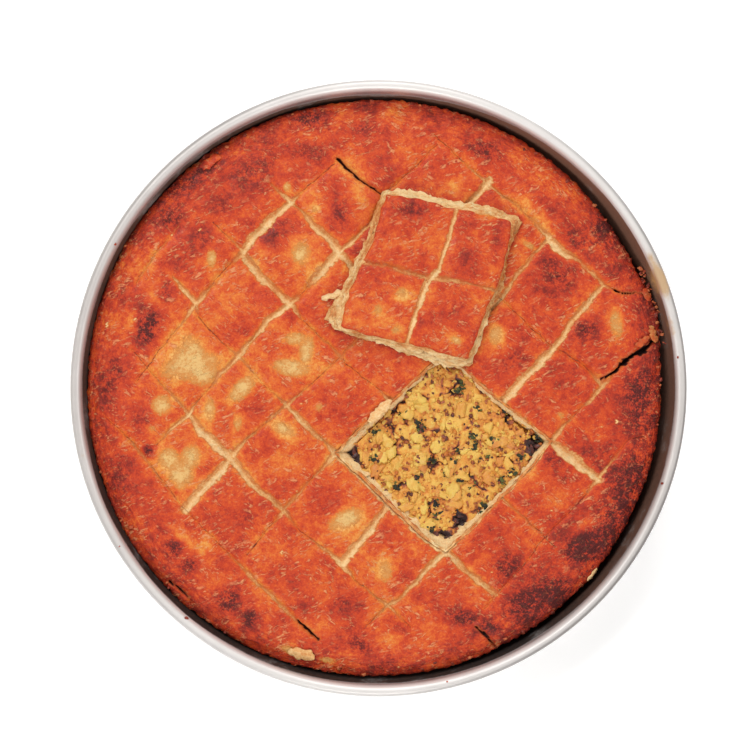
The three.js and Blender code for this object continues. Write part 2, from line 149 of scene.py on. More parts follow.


# Every 30 degrees round the tin: how high the film reaches, how light it is, how worn the bead is and how
# bright it is painted. The film's darkness is partly painted shade, near black from the left round the bottom
# to the lower right, in the gap by the crust; the bead's brightness is painted shade, darker at the left and
# right.
ROUND_THE_TIN = (
    (40, 0.62, 0.9, 0.45), (41.5, 0.95, 0.85, 0.85), (38, 1, 0.35, 1), (34, 0.6, 0.35, 1),
    (37, 0.3, 0.75, 0.8), (38.5, 0.4, 0.5, 0.5), (39, 0.25, 0.4, 0.45), (40.5, 0.05, 0.35, 0.6),
    (40, 0.05, 0.3, 1), (37.6, 0.1, 0.35, 1), (37.2, 0, 0.85, 0.8), (39.6, 0.5, 1, 0.4),
    (40, 0.62, 0.9, 0.45),
)
STAINS = (
    (164.5, 63, 18, 7, -68, 1), (160, 73, 14, 5, -65, 0.7), (171, 36, 16, 4, -78, 0.5),
    (-172, -40, 8, 4, 80, 0.35),
)
x, y, z = points_of(tin).T
radius, turn = np.hypot(x, y), np.arctan2(y, x)
film_top, light_film, wear, bead_light_painted = (
    np.interp(np.degrees(turn) % 360, np.arange(0, 361, 30), column) for column in zip(*ROUND_THE_TIN)
)
at_corner = np.hypot(np.clip(radius - TIN_CORNER[0], 0, None), z - TIN_CORNER[1]) < 8.2
inside = np.where(z < 7.7, at_corner, radius < inner_wall(z) + 0.25)
film_top += 0.5 * ripple(turn * 170, turn * 0, 40, 2)
# The film over the inner wall, thin everywhere and full below its top: baked-on residue that is also painted
# shade, near black where the gap is in shadow.
film = inside * (0.3 * ease(42.6, 41, z) + 0.7 * ease(film_top + 1.6, film_top - 1.6, z))
worn_line = 178.9 + 0.5 * np.cos(turn - 0.6)
worn = (z > 42.5) * np.exp(-(((radius - worn_line) / 1.3) ** 2)) * wear
for name, values in (
    ("film", film), ("light_film", light_film), ("worn", worn), ("bright", bead_light_painted),
    ("dulled", ease(38, 43, z)), ("stain", spots(STAINS, x, y) * (z > 20)),
):
    paint(tin, name, values)


def srgb(red, green, blue):
    """A colour as a shader takes it, from the 0 to 255 values that a screen shows."""
    parts = [value / 255 for value in (red, green, blue)]
    return tuple(p / 12.92 if p <= 0.04045 else ((p + 0.055) / 1.055) ** 2.4 for p in parts) + (1.0,)


def feed(tree, made, inputs):
    """Sets a node's inputs, each to a plain value or another node's output."""
    for key, value in inputs.items():
        if isinstance(value, bpy.types.NodeSocket):
            tree.links.new(value, made.inputs[key])
        else:
            made.inputs[key].default_value = value


def node(tree, kind, inputs={}, **settings):
    """Adds a node with its settings and inputs."""
    made = tree.nodes.new(kind)
    for key, value in settings.items():
        setattr(made, key, value)
    feed(tree, made, inputs)
    return made


def sums(tree, operation, first, *others):
    """Arithmetic on values, one after the other."""
    for other in others:
        first = node(tree, "ShaderNodeMath", {0: first, 1: other}, operation=operation).outputs[0]
    return first


def times(tree, *values):
    """Values multiplied."""
    return sums(tree, "MULTIPLY", *values)


def nudged(tree, value, *noises):
    """A value pushed up and down by noises, each given with its strength."""
    for noise, strength in noises:
        value = sums(tree, "ADD", value, times(tree, sums(tree, "SUBTRACT", noise, 0.5), strength))
    return value


def mixed(tree, share, first, second):
    """Two colours mixed by a share."""
    return node(tree, "ShaderNodeMix", {0: share, 6: first, 7: second}, data_type="RGBA").outputs[2]


def stepped(tree, value, low, high, least=0.0, most=1.0):
    """A value turned into a mask that rises smoothly from low to high."""
    ends = {"Value": value, "From Min": low, "From Max": high, "To Min": least, "To Max": most}
    return node(tree, "ShaderNodeMapRange", ends, interpolation_type="SMOOTHSTEP").outputs[0]


def from_axis(tree, place):
    """Distance from the tin's axis."""
    squares = [sums(tree, "POWER", place.outputs[axis], 2.0) for axis in "XY"]
    return sums(tree, "SQRT", sums(tree, "ADD", *squares), 0.0)


def relief(tree, strength, depth, height):
    """A fine relief of a depth in mm."""
    parts = {"Strength": strength, "Distance": depth * MM, "Height": height}
    return node(tree, "ShaderNodeBump", parts).outputs[0]


def grain(tree, coordinates, size, detail=3.0, roughness=0.6, distortion=0.0):
    """Noise with features of a size in mm, from 0 to 1."""
    parts = {"Vector": coordinates, "Scale": 1000 / size, "Detail": detail, "Roughness": roughness}
    parts["Distortion"] = distortion
    return node(tree, "ShaderNodeTexNoise", parts).outputs[0]


def painted(tree, name):
    """A value painted on the piece's points."""
    return node(tree, "ShaderNodeAttribute", attribute_name=name).outputs["Fac"]


def new_material(name):
    """A material with its shader, its node tree and the piece's own coordinates."""
    material = bpy.data.materials.new(name)
    material.use_nodes = True
    tree = material.node_tree
    shader = next(n for n in tree.nodes if n.type == "BSDF_PRINCIPLED")
    coordinates = node(tree, "ShaderNodeTexCoord").outputs["Object"]
    return material, tree, shader, coordinates


def put_on(piece, material, slot_name, *stands_for):
    """Gives a piece its material and hangs it under the part's root; the slot name is not used."""
    piece.data.materials.clear()
    piece.data.materials.append(material)
    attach(piece, "root")
    if stands_for:
        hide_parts(*stands_for)


aluminium, tree, shader, coordinates = new_material("spun_aluminium")
broad = grain(tree, coordinates, 40, 4)
fine = grain(tree, coordinates, 2.2, 5, 0.7)
place = node(tree, "ShaderNodeSeparateXYZ", {0: coordinates})
turned = {"X": from_axis(tree, place), "Y": place.outputs["Z"], "Z": 0.0}
rings = grain(tree, node(tree, "ShaderNodeCombineXYZ", turned).outputs[0], 0.7, 2)
# The film's colour runs from brown residue down to near black, which is painted shade in the gap.
film = times(tree, painted(tree, "film"), stepped(tree, broad, 0.25, 0.6, 0.55, 1.0))
film_and_shade_edge = stepped(tree, sums(tree, "ADD", film, times(tree, fine, 0.5)), 0.4, 1.1)
how_light = nudged(tree, painted(tree, "light_film"), (fine, 0.8))
film_and_shade_colour = mixed(tree, how_light, srgb(26, 17, 14), srgb(118, 80, 62))
# The bead's bare colour is painted darker at the left and the right of the tin, as shade; the worn line on it
# is wear.
how_bright = nudged(tree, painted(tree, "bright"), (broad, 0.8))
bare = mixed(tree, how_bright, srgb(178, 171, 167), srgb(224, 220, 217))
bare = mixed(tree, times(tree, painted(tree, "worn"), 0.85), bare, srgb(96, 90, 87))
stained = sums(tree, "ADD", painted(tree, "stain"), times(tree, fine, 0.6))
colour = mixed(tree, film_and_shade_edge, bare, film_and_shade_colour)
shiny = stepped(tree, painted(tree, "dulled"), 0.0, 1.0, 0.85, 0.18)
feed(tree, shader, {
    "Base Color": mixed(tree, stepped(tree, stained, 0.5, 1.0, 0.0, 0.8), colour, srgb(188, 148, 94)),
    "Metallic": times(tree, shiny, stepped(tree, film_and_shade_edge, 0.0, 1.0, 1.0, 0.0)),
    "Roughness": stepped(tree, sums(tree, "ADD", fine, film_and_shade_edge), 0.2, 1.4, 0.36, 0.7),
    "Normal": relief(tree, 0.15, 0.2, rings),
})
put_on(tin, aluminium, "baking_tin", "baking_tin")

# ---------------------------------------------------------------- the pastry crust
# A round pie of thin dough sheets, baked to a glazed crust. Its top was scored in diamonds with a knife
# before baking, so the cuts have opened on pale dough. A square of it is missing, and the filling shows
# there.
PIE_RADIUS = 169.2
HOLE_SIDES = ("b5", "a5", "b7", "a3")
LEDGE = 2.6
# Each cut is a line of places: x, y and how wide it gapes, in mm, and how pale its dough shows, from 0 to 1.
CUTS = {
    "a1": (
        (-161, -17, 0.9, 0.1), (-151, -25.5, 1.5, 0.1), (-141.5, -35.5, 2.3, 0.4), (-116, -68.5, 1.2, 0.2),
        (-98.5, -86.5, 0.7, 0.1), (-75, -110, 2.3, 0.5), (-50.5, -133.5, 2.3, 0.5), (-42.5, -141, 2.9, 0),
        (-35, -147.5, 2.3, 0),
    ),
    "a2": (
        (-145.5, 23.5, 0.9, 0), (-128, 3, 1.5, 0.3), (-111.5, -14, 1.7, 0.6), (-104.5, -24.5, 4.7, 0.95),
        (-87.5, -39, 5.2, 1), (-74, -56.5, 3.5, 0.8), (-56.5, -70, 3.5, 0.6), (-46, -83.5, 1.2, 0.1),
        (-28.5, -96.5, 1.7, 0.6), (-21.5, -102.5, 4.1, 1), (-12.5, -114, 1.2, 0.2), (4.5, -126.5, 2, 0.6),
        (19.5, -141, 0.6, 0.1),
    ),
    "a3": (
        (-121, 65.5, 1.7, 0.6), (-111.5, 55, 2.9, 0.9), (-107, 49.5, 2.3, 0.8), (-105.5, 41.5, 1.7, 0),
        (-93, 27.5, 0.7, 0.1), (-81.5, 19, 1.7, 0.5), (-67, 2, 0.6, 0.1), (-53.5, -9.5, 1.7, 0.6),
        (-47, -17.5, 3.5, 0.9), (-31.5, -31.5, 2.3, 0.5), (-24.5, -38, 3.5, 0.9), (-5, -56, 4.1, 0.9),
        (5.5, -66.5, 4.7, 0.9), (26.5, -86.5, 4.7, 1), (39.5, -95, 4.1, 1), (53.5, -108.5, 3.5, 0.6),
        (63, -116.5, 3.5, 0.9), (69.5, -121, 2.3, 0.5),
    ),
    "a4": (
        (-97.5, 97.5, 0.7, 0.1), (-81, 82.5, 1.5, 0.5), (-77, 74.5, 4.7, 0.9), (-67, 63.5, 4.7, 0.9),
        (-60.5, 58, 2.9, 0.6), (-51, 49.5, 4.1, 1), (-44, 40, 1.7, 0.2), (-22, 19, 2.3, 0.4),
        (-19, 14, 1.7, 0), (-9.5, 7, 0.9, 0), (1, -1.5, 1.2, 0.3), (8, -8.5, 2.3, 0.8),
        (69.5, -61.5, 1.7, 0.6), (86.5, -76.5, 1.2, 0.3), (97.5, -87, 1.3, 0.2), (104, -94, 0.9, 0.1),
    ),
    "a5": (
        (-63.5, 120.5, 1.2, 0.3), (-52, 110, 2.3, 0.8), (-47, 106, 1.2, 0.4), (-38, 95.5, 3.5, 0.8),
        (-25.5, 84.5, 4.7, 0.9), (-21.5, 78.5, 4.7, 1), (-15, 70.5, 3.5, 0.9), (58.5, 3, 1.7, 0.8),
        (71, -8, 2.3, 0.9), (86, -19.5, 1.7, 0.9), (100.5, -31, 2.9, 0.9), (108, -37, 5.8, 1),
        (118, -44.5, 5.8, 1), (129.5, -54, 3.5, 1),
    ),
    "a6": (
        (-25, 135, 1.2, 0), (-21, 131.5, 3.5, 0), (-8.5, 120.5, 2.3, 0), (1.5, 113.5, 2.3, 0.2),
        (72.5, 52, 1.2, 0.2), (94.5, 31, 1.7, 0.1), (103.5, 23.5, 2.3, 0.4), (110, 20.5, 2.3, 0.1),
        (122, 12.5, 2.9, 0.1), (131.5, 2.5, 3.5, 0.6),
    ),
    "a7": (
        (33, 149, 1.2, 0), (43.5, 139, 1.2, 0), (64, 120, 1.7, 0.7), (81, 107.5, 2.3, 0.3),
        (91.5, 98, 2.3, 0.3), (100, 88.5, 2.9, 0.9), (105, 83, 5.2, 1), (110.5, 79, 4.7, 1),
        (118, 75, 2.3, 0.4), (132.5, 61.5, 2.3, 0.6), (142, 55.5, 1.2, 0),
    ),
    "b1": ((-143, 61, 0.7, 0.3), (-131, 78.5, 1.2, 0.4), (-117, 96, 0.7, 0.3)),
    "b2": (
        (-26, 132, 0.7, 0.05), (-45, 115.5, 1, 0.1), (-50.5, 110, 2.9, 0.9), (-64.5, 98, 4.7, 1),
        (-75, 87, 4.7, 1), (-80, 79.5, 2.9, 0.9), (-88, 72, 2.9, 0), (-94, 65.5, 2.3, 0),
        (-102, 55.5, 2.9, 0.7), (-107.5, 49.5, 2.3, 0.8), (-116, 37.5, 1.2, 0.5), (-129.5, 21, 0.9, 0),
        (-142, 4, 0.9, 0),
    ),
    "b3": (
        (35, 143.5, 0.9, 0.1), (18, 126.5, 1.2, 0.1), (5.5, 116, 1.2, 0.3), (-6.5, 94.5, 1.7, 0.6),
        (-21, 81.5, 2.9, 0.9), (-25.5, 77.5, 5.2, 1), (-36.5, 65.5, 5.2, 0.9), (-44, 56.5, 2.3, 0),
        (-52, 49.5, 3.5, 1), (-66.5, 38.5, 2.9, 0.8), (-81.5, 19.5, 2.9, 0.7), (-91, 10, 2.3, 0.7),
        (-103, -4, 0.9, 0.1), (-111.5, -15.5, 2.3, 0.9), (-122, -24, 1.7, 0.7), (-130.5, -34, 1.2, 0),
    ),
    "b4": (
        (64.5, 121.5, 4.7, 0.9), (53.5, 108.5, 4.1, 0.8), (24.5, 69, 2.3, 0.5), (-22, 19, 1.7, 0.3),
        (-38, 4, 0.9, 0.2), (-53.5, -9.5, 2.3, 0.6), (-68, -21.5, 1.7, 0.3), (-83.5, -36, 2.3, 0.7),
        (-92, -47.5, 5.2, 1), (-102, -57.5, 5.2, 1), (-113.5, -71, 4.7, 0.9),
    ),
    "b5": (
        (100.5, 89, 2.3, 0.8), (90.5, 77.5, 1.7, 0.4), (81, 66.5, 2.3, 0.7), (73, 53.5, 2.3, 0.8),
        (31.5, 13.5, 2.3, 0.9), (10.5, -6.5, 2.9, 0.9), (-12, -25.5, 2.3, 0.9), (-24.5, -38, 2.9, 0.9),
        (-39, -52.5, 1.7, 0.3), (-56, -72, 2.3, 0.6), (-66.5, -84.5, 1.2, 0.05), (-77.5, -99, 1.2, 0.1),
    ),
    "b6": (
        (132.5, 61, 1.7, 0.7), (124, 51.5, 3.5, 0.9), (113.5, 39.5, 2.9, 0.7), (103.5, 24, 3.5, 0.9),
        (89.5, 10.5, 4.7, 1), (73, -7.5, 4.1, 1), (5.5, -67.5, 4.1, 0.9), (-0.5, -77, 3.5, 0.9),
        (-12, -91.5, 4.1, 1), (-21, -102.5, 4.1, 1),
    ),
    "b7": (
        (160, 28, 2.3, 0), (149, 19, 3.5, 0), (137.5, 9, 2.9, 0.1), (131.5, 0.5, 2.9, 0.8),
        (116.5, -14, 1.2, 0.2), (101, -30.5, 2.9, 0.9), (90.5, -44.5, 2.3, 0.9), (75.5, -60, 2.3, 0.9),
        (53.5, -82.5, 2.3, 0.9), (39.5, -95, 3.5, 1), (27, -107.5, 2.9, 0.9), (14, -122.5, 2, 0.6),
        (5, -127.5, 1.7, 0.6), (-8, -141, 0.7, 0.1),
    ),
    "b8": (
        (156, -28.5, 0.7, 0), (147.5, -30, 1, 0.1), (129.5, -52, 2.3, 0.7), (119, -66, 1.2, 0.1),
        (100, -85, 1.3, 0.1), (84.5, -105, 1.2, 0.1), (68, -122.5, 1.7, 0.3), (62, -130, 0.9, 0.1),
    ),
}
# Places where the pastry has split deeper, painted dark inside as shade, written like the cuts.
SPLITS = {
    "s1": ((-47, -136.5, 0.8, 0), (-41, -142, 1.6, 0), (-35, -147.5, 1, 0)),
    "s2": ((-24, 134, 1.6, 0), (-19, 129, 1.4, 0), (-8.5, 120.5, 0.7, 0), (2, 113, 0.5, 0)),
    "s3": ((131, 5, 0.6, 0), (140, 11, 1.8, 0), (147, 17.5, 3, 0), (155, 22, 3.2, 0), (164, 29, 1.6, 0)),
    "s4": ((139.5, 57, 1.6, 0), (143, 55.5, 0.6, 0), (149, 56, 0.3, 0), (157, 56.5, 0.4, 0)),
    "s5": ((57, -140, 0.9, 0), (64, -147, 1.4, 0), (71, -155, 0.8, 0)),
    "s6": ((-123.5, -113, 0.8, 0), (-118, -118, 1.4, 0), (-111.5, -123, 0.8, 0)),
}
# Spots without glaze, where the dough stayed pale: middle, length, width, turn in degrees and strength.
PALE_SPOTS = (
    (-110, 13, 29, 13, 10, 1), (-107.5, 16.5, 26, 13, -70, 1), (-104, 9, 17, 12, 0, 0.95),
    (-113, 17, 15, 15, 45, 0.95), (-50.5, 12, 19, 8.5, -8, 0.95), (-42, 22, 7.5, 16, -8, 0.9),
    (-48.5, 29, 11, 7, 0, 0.8), (-80, -0.5, 18, 8.5, 45, 0.9), (-99, -13, 6, 13, 0, 0.85),
    (-82.5, -20, 6, 11, 0, 0.6), (-127, -10, 11, 11, 0, 0.85), (-55.5, -24, 14, 7, -25, 0.85),
    (-123, -42, 11, 12, 20, 0.95), (-110, -40.5, 10, 13, -15, 0.95), (-116, -50, 13, 13, 0, 0.95),
    (-116, -56, 7, 8, 0, 0.7), (-19, -77, 18, 10, 25, 0.95), (4, -107, 9, 14, 0, 0.6),
    (-45.5, 79, 11, 14, 0, 0.75), (-47, 78, 5, 7, 0, 1), (-98, 76, 6, 11, 0, 0.65),
    (-37, 105, 4, 5, 0, 0.6), (-53.5, 118, 4, 5, 0, 0.9), (69, 31, 7, 10, -10, 0.9),
    (139.5, 38.5, 8, 18, 8, 0.65), (107, -16, 5, 5, 0, 0.55), (-133, -24, 7, 6, 0, 0.45),
    (-35, -11, 6, 6, 0, 0.45), (-30, -160, 11, 4, -10, 0.6), (-52, -154, 11, 5, -20, 0.7),
    (78, 91, 6, 3.5, -30, 0.6), (88, 84, 10, 4, -32, 0.6),
)
# Golden spots and streaks, less browned than the rest.
GOLD_SPOTS = (
    (-11, 112, 13, 13, 0, 0.6), (-37, 107, 12, 12, 0, 0.5), (-133, 50, 7, 14, 0, 0.7),
    (-145, 40, 6, 15, 0, 0.6), (5, -148, 13, 9, 0, 0.6), (91, -53, 12, 11, 0, 0.6),
    (105, -65, 12, 9, 0, 0.6), (120, -80, 13, 8, 40, 0.6), (45, 118, 10, 10, 0, 0.6),
    (-118, -84, 18, 6, -42, 0.8), (-102, -93, 8, 7, 0, 0.6), (-52, 19, 30, 32, 0, 0.4),
    (-112, 15, 38, 32, 10, 0.5), (-116, -46, 36, 34, 0, 0.3), (139, 38, 18, 30, 0, 0.6),
    (-55, -45, 26, 20, 0, 0.25), (80, 78, 16, 10, -40, 0.4), (95, 100, 34, 9, -45, 0.7),
    (60, 60, 20, 20, 0, 0.25), (-30, -40, 24, 24, 0, 0.2), (-112, 132, 10, 18, -40, 0.7),
    (-18, -76, 26, 18, 20, 0.35), (-150, 75, 12, 20, -20, 0.35), (0, -20, 18, 9, 45, 0.3),
    (-85, 60, 20, 20, 0, 0.25), (-20, 130, 26, 9, -35, 0.3), (40, -140, 22, 10, 10, 0.35),
    (96, 53, 14, 14, 0, 0.15), (-80, 0, 24, 16, 45, 0.3), (-99, -13, 14, 20, 0, 0.3),
    (4, -107, 16, 22, 0, 0.4), (-45, 79, 20, 22, 0, 0.35), (70, 34, 16, 18, 0, 0.35),
    (-56, -24, 20, 14, -25, 0.3), (120, 62, 18, 8, -40, 0.35), (-95, 40, 16, 14, 0, 0.3),
    (28, -130, 16, 10, 0, 0.3), (-60, -95, 16, 12, 0, 0.25), (130, -25, 12, 14, 0, 0.25),
    (-30, 60, 16, 14, 0, 0.3), (106, 117, 34, 13, -45, 0.45), (42, 139, 26, 15, 0, 0.35),
    (0, 160, 30, 8, 0, 0.25),
)
# Spots that have baked dark.
DARK_SPOTS = (
    (-135, 37, 10, 19, -15, 0.75), (-89, -125, 13, 13, 0, 0.5), (-110, -103, 10, 10, 0, 0.4),
    (-120, -94, 9, 9, 0, 0.4), (-75, -135, 9, 9, 0, 0.4), (-78, -77, 14, 11, 0, 0.35),
    (-124, 57, 9, 12, 0, 0.4), (-103, 89, 12, 14, 0, 0.35), (-107, 122, 17, 11, 40, 0.4),
    (-75, 124, 22, 17, 0, 0.34), (-40, 157, 16, 9, 0, 0.4), (-6, 153, 22, 9, 0, 0.2),
    (-22, -126, 12, 10, 0, 0.3), (49, -135, 16, 9, 0, 0.35), (-10, -152, 12, 8, 0, 0.35),
    (88, -126, 26, 14, 35, 0.44), (103, -118, 18, 13, 40, 0.4), (120, -94, 20, 13, 50, 0.4),
    (141, -71, 16, 28, -20, 0.42), (155, -1, 9, 18, 0, 0.4), (106, 66, 20, 14, 0, 0.3),
    (-154, 14, 8, 16, 0, 0.3), (-160, -6, 7, 16, 0, 0.28), (-21, 101, 13, 16, 0, 0.34),
    (65, -140, 16, 9, 20, 0.35), (123, 34, 18, 14, 0, 0.35), (-120, 100, 16, 14, 40, 0.3),
    (-140, -20, 12, 16, 0, 0.26), (112, 88, 24, 10, -45, 0.3), (60, 140, 30, 10, -20, 0.3),
    (135, 95, 14, 14, 0, 0.26), (-150, -52, 14, 20, 20, 0.14), (-62, 92, 18, 14, 0, 0.26),
    (-45, 140, 20, 12, 0, 0.26), (104, -40, 20, 12, 0, 0.28), (75, -105, 20, 14, 40, 0.3),
    (-135, -37, 5, 6, 0, 0.6), (101, 72, 14, 12, 0, 0.25), (80, 15, 16, 12, 0, 0.2),
    (-5, 92, 10, 12, 0, 0.2), (-134, -77, 28, 24, 0, 0.12), (-112, 116, 26, 20, 40, 0.28),
    (13, -136, 26, 16, 0, 0.08), (95, 58, 22, 20, 0, 0.14), (154, -48, 18, 28, 0, 0.2),
    (154, -8, 14, 26, 0, 0.24), (-69, 34, 16, 16, 0, 0.1), (-156, -30, 10, 24, 12, 0.08),
)


def along_cut(cut, t):
    """Places along a cut, from its start at 0 to its end at 1."""
    at = np.linspace(0, 1, len(cut))
    return np.interp(t, at, [place[0] for place in cut]), np.interp(t, at, [place[1] for place in cut])


def nearest_on_cut(cut, x, y):
    """For each place, its distance to a cut, its side, the cut's direction, gape, paleness and ends."""
    best = [np.full(x.shape, 1e9)] + [np.zeros(x.shape) for _ in range(6)]
    for k, ((x1, y1, gape1, pale1), (x2, y2, gape2, pale2)) in enumerate(zip(cut, cut[1:])):
        dx, dy = x2 - x1, y2 - y1
        run = math.hypot(dx, dy)
        t = np.clip(((x - x1) * dx + (y - y1) * dy) / run**2, 0, 1)
        ox, oy = x - x1 - dx * t, y - y1 - dy * t
        far = np.hypot(ox, oy)
        at_end = ((t == 0) & (k == 0)) | ((t == 1) & (k == len(cut) - 2))
        found = (
            far, np.sign(dx * oy - dy * ox), 0 * x + dx / run, 0 * x + dy / run,
            gape1 + (gape2 - gape1) * t, pale1 + (pale2 - pale1) * t, at_end,
        )
        nearer = far < best[0]
        best = [np.where(nearer, new, old) for new, old in zip(found, best)]
    return best


def crossing(first, second):
    """Where two cuts cross, as a share along the first."""
    ax, ay = along_cut(first, np.linspace(0, 1, 801))
    bx, by = along_cut(second, np.linspace(0, 1, 401))
    far = np.hypot(ax[:, None] - bx[None, :], ay[:, None] - by[None, :])
    return np.unravel_index(far.argmin(), far.shape)[0] / 800


def outline_of_hole(per_side):
    """Places round the missing square, along the four cuts that bound it."""
    xs, ys = [], []
    for k, name in enumerate(HOLE_SIDES):
        start = crossing(CUTS[name], CUTS[HOLE_SIDES[k - 1]])
        end = crossing(CUTS[name], CUTS[HOLE_SIDES[(k + 1) % 4]])
        side = along_cut(CUTS[name], start + (end - start) * np.arange(per_side) / per_side)
        xs.append(side[0])
        ys.append(side[1])
    return np.concatenate(xs), np.concatenate(ys)


hole_x, hole_y = outline_of_hole(30)
hole_x = hole_x + 0.35 * ripple(hole_x, hole_y, 7, 3)
hole_y = hole_y + 0.35 * ripple(hole_x, hole_y, 7, 4)
hole_middle = (hole_x.mean(), hole_y.mean())


def beside_hole(x, y):
    """For each place, how far it is outside the missing square (less than 0 inside) and the nearest edge."""
    far = np.full(x.shape, 1e9)
    near_x, near_y = np.zeros(x.shape), np.zeros(x.shape)
    within = np.zeros(x.shape, dtype=bool)
    for k in range(len(hole_x)):
        x1, y1, x2, y2 = hole_x[k - 1], hole_y[k - 1], hole_x[k], hole_y[k]
        dx, dy = x2 - x1, y2 - y1
        t = np.clip(((x - x1) * dx + (y - y1) * dy) / (dx**2 + dy**2), 0, 1)
        px, py = x1 + dx * t, y1 + dy * t
        distance = np.hypot(x - px, y - py)
        near_x, near_y = np.where(distance < far, px, near_x), np.where(distance < far, py, near_y)
        far = np.minimum(far, distance)
        crosses = (y1 > y) != (y2 > y)
        within ^= crosses & (x < x1 + dx * (y - y1) / (dy + 1e-12))
    return np.where(within, -far, far), near_x, near_y


def pie_radius(turn):
    """Radius of the pie's outline at an angle from +X."""
    wave = 0.45 * np.sin(5 * turn + 1.7) + 0.35 * np.sin(11 * turn + 3.91) + 0.3 * np.sin(19 * turn + 6.97)
    from_bulge = np.degrees(np.arctan2(np.sin(turn), np.cos(turn))) - 15
    bulge = 3.4 * np.exp(-((from_bulge / 6) ** 2))
    return PIE_RADIUS - 2.6 * np.cos(turn) - 0.3 * np.cos(2 * turn) + 0.35 * wave + bulge


def pie_top(x, y):
    """Height of the pie's top before the cuts: a low dome with soft swells, rounded over at its shoulder."""
    share = np.hypot(x, y) / pie_radius(np.arctan2(y, x))
    swell = 0.5 * np.sin(x / 17 + 1) * np.sin(y / 15) + 0.35 * np.sin((x + y) / 11) * np.sin((x - y) / 13)
    over = np.clip((share - 0.93) / 0.07, 0, None)
    return 35 + 4.5 * (1 - share**2) + swell - 3.2 * over**2


def cut_marks(cuts, x, y, seed):
    """How deep the cuts sink each place, how pale they leave it with painted shade on upper walls, their
    painted dark shade, their halo, and their nearness.
    """
    sink, cream, slit, halo, near = (np.zeros(x.shape) for _ in range(5))
    ragged = 1 + 0.2 * ripple(x, y, 9, seed) + 0.2 * ripple(x, y, 3.2, seed + 1)
    wander = [0.35 * ripple(x, y, 12, seed + k) + 0.16 * ripple(x, y, 4, seed + k + 1) for k in (2, 4)]
    x, y = x + wander[0], y + wander[1]
    for name, cut in cuts.items():
        far, side, dx, dy, gape, pale, _ = nearest_on_cut(cut, x, y)
        half = 0.5 * gape * np.clip(ragged, 0.5, 1.5)
        deep = 0.3 + 0.42 * gape + (3.4 if name in SPLITS else 0)
        pale = pale**0.7
        beyond = np.clip(far - half, 0, None)
        shoulder = 0.8 * np.exp(-beyond / 1.7)
        slot = deep * ease(half + 0.35, half * 0.2, far)
        sink = np.maximum(sink, shoulder + slot)
        upward = far * np.sign(side * (0.3 * dy + 0.95 * dx))
        # The cream is painted darker on the cut's upper wall, as shade, and kept full on its lower, lit wall.
        lit = 0.64 + 0.36 * ease(0.6, -0.3, upward / (half + 0.1))
        cream = np.maximum(cream, pale * lit * ease(half * 1.2 + 0.75, half - 0.2, far))
        halo = np.maximum(halo, (0.3 + 0.7 * pale) * np.exp(-beyond / 1.6))
        near = np.maximum(near, np.exp(-beyond / 2.2))
        # Each cut gets a dark line of painted shade: along the middle of a narrow cut, and along the upper
        # wall of one that gapes pale. A split is painted dark all through, as shade.
        line = np.where(pale > 0.45, np.abs(upward - half * 0.75) + 0.15, far)
        if name in SPLITS:
            uneven = 0.45 * ripple(x, y, 5, seed + 6) + 0.3 * ripple(x, y, 2.4, seed + 7)
            torn = half * np.clip(1 + uneven, 0.3, 1.8)
            slit = np.maximum(slit, ease(torn + 0.5, torn - 0.4, far))
            cream = np.maximum(cream, 0.42 * ease(torn + 1.8, torn + 0.6, far))
        else:
            slit = np.maximum(slit, (0.55 - 0.3 * pale) * ease(0.8, 0.1, line))
    return sink, cream, slit, halo, near


# The top starts as a square grid turned by 45 degrees, so that its lines run along the cuts.
crust = begin(bpy.ops.mesh.primitive_grid_add, x_subdivisions=312, y_subdivisions=312, size=346 * MM)
edit_all()
bpy.ops.transform.rotate(value=math.radians(45), orient_axis="Z", center_override=(0, 0, 0))
bpy.ops.object.mode_set(mode="OBJECT")
points = points_of(crust)

# Its lines are drawn in towards the cuts, where the shape needs them, one family of cuts at a time.
for family in "ab":
    x, y = points[:, 0].copy(), points[:, 1].copy()
    nearest = None
    for name, cut in CUTS.items():
        if name[0] == family:
            found = nearest_on_cut(cut, x, y)
            if nearest is None:
                nearest = found
            else:
                closer = found[0] < nearest[0]
                nearest = [np.where(closer, new, old) for new, old in zip(found, nearest)]
    far, side, dx, dy, _, _, at_end = nearest
    draw_in = -0.5 * far * np.exp(-((far / 6) ** 2)) * side * (at_end == 0)
    points[:, 0] += -dy * draw_in
    points[:, 1] += dx * draw_in
set_points(crust, points)


def corners_of(piece):
    """Which points each face of a piece joins, where all its faces have as many corners."""
    corners = np.empty(len(piece.data.loops), dtype=np.int32)
    piece.data.loops.foreach_get("vertex_index", corners)
    return corners.reshape(len(piece.data.polygons), -1)


# Faces past the pie's outline and in the missing square are taken away.
x, y, _ = points[corners_of(crust)].mean(axis=1).T
on_pie = (np.hypot(x, y) < pie_radius(np.arctan2(y, x)) - 0.3) & (beside_hole(x, y)[0] > 0)
bpy.context.tool_settings.mesh_select_mode = (False, False, True)
bpy.ops.object.mode_set(mode="EDIT")
bpy.ops.mesh.select_all(action="DESELECT")
bpy.ops.object.mode_set(mode="OBJECT")
crust.data.polygons.foreach_set("select", ~on_pie)
bpy.ops.object.mode_set(mode="EDIT")
bpy.ops.mesh.delete(type="FACE")
bpy.ops.object.mode_set(mode="OBJECT")


def open_edges(piece, chosen):
    """Enters edit mode with only those open edges selected that chosen says yes to."""
    bpy.context.tool_settings.mesh_select_mode = (False, True, False)
    bpy.ops.object.mode_set(mode="EDIT")
    bpy.ops.mesh.select_all(action="DESELECT")
    mesh = bmesh.from_edit_mesh(piece.data)
    for edge in mesh.edges:
        middle = (edge.verts[0].co + edge.verts[1].co) / (2 * MM)
        edge.select_set(edge.is_boundary and chosen(middle.x, middle.y))
    bmesh.update_edit_mesh(piece.data)


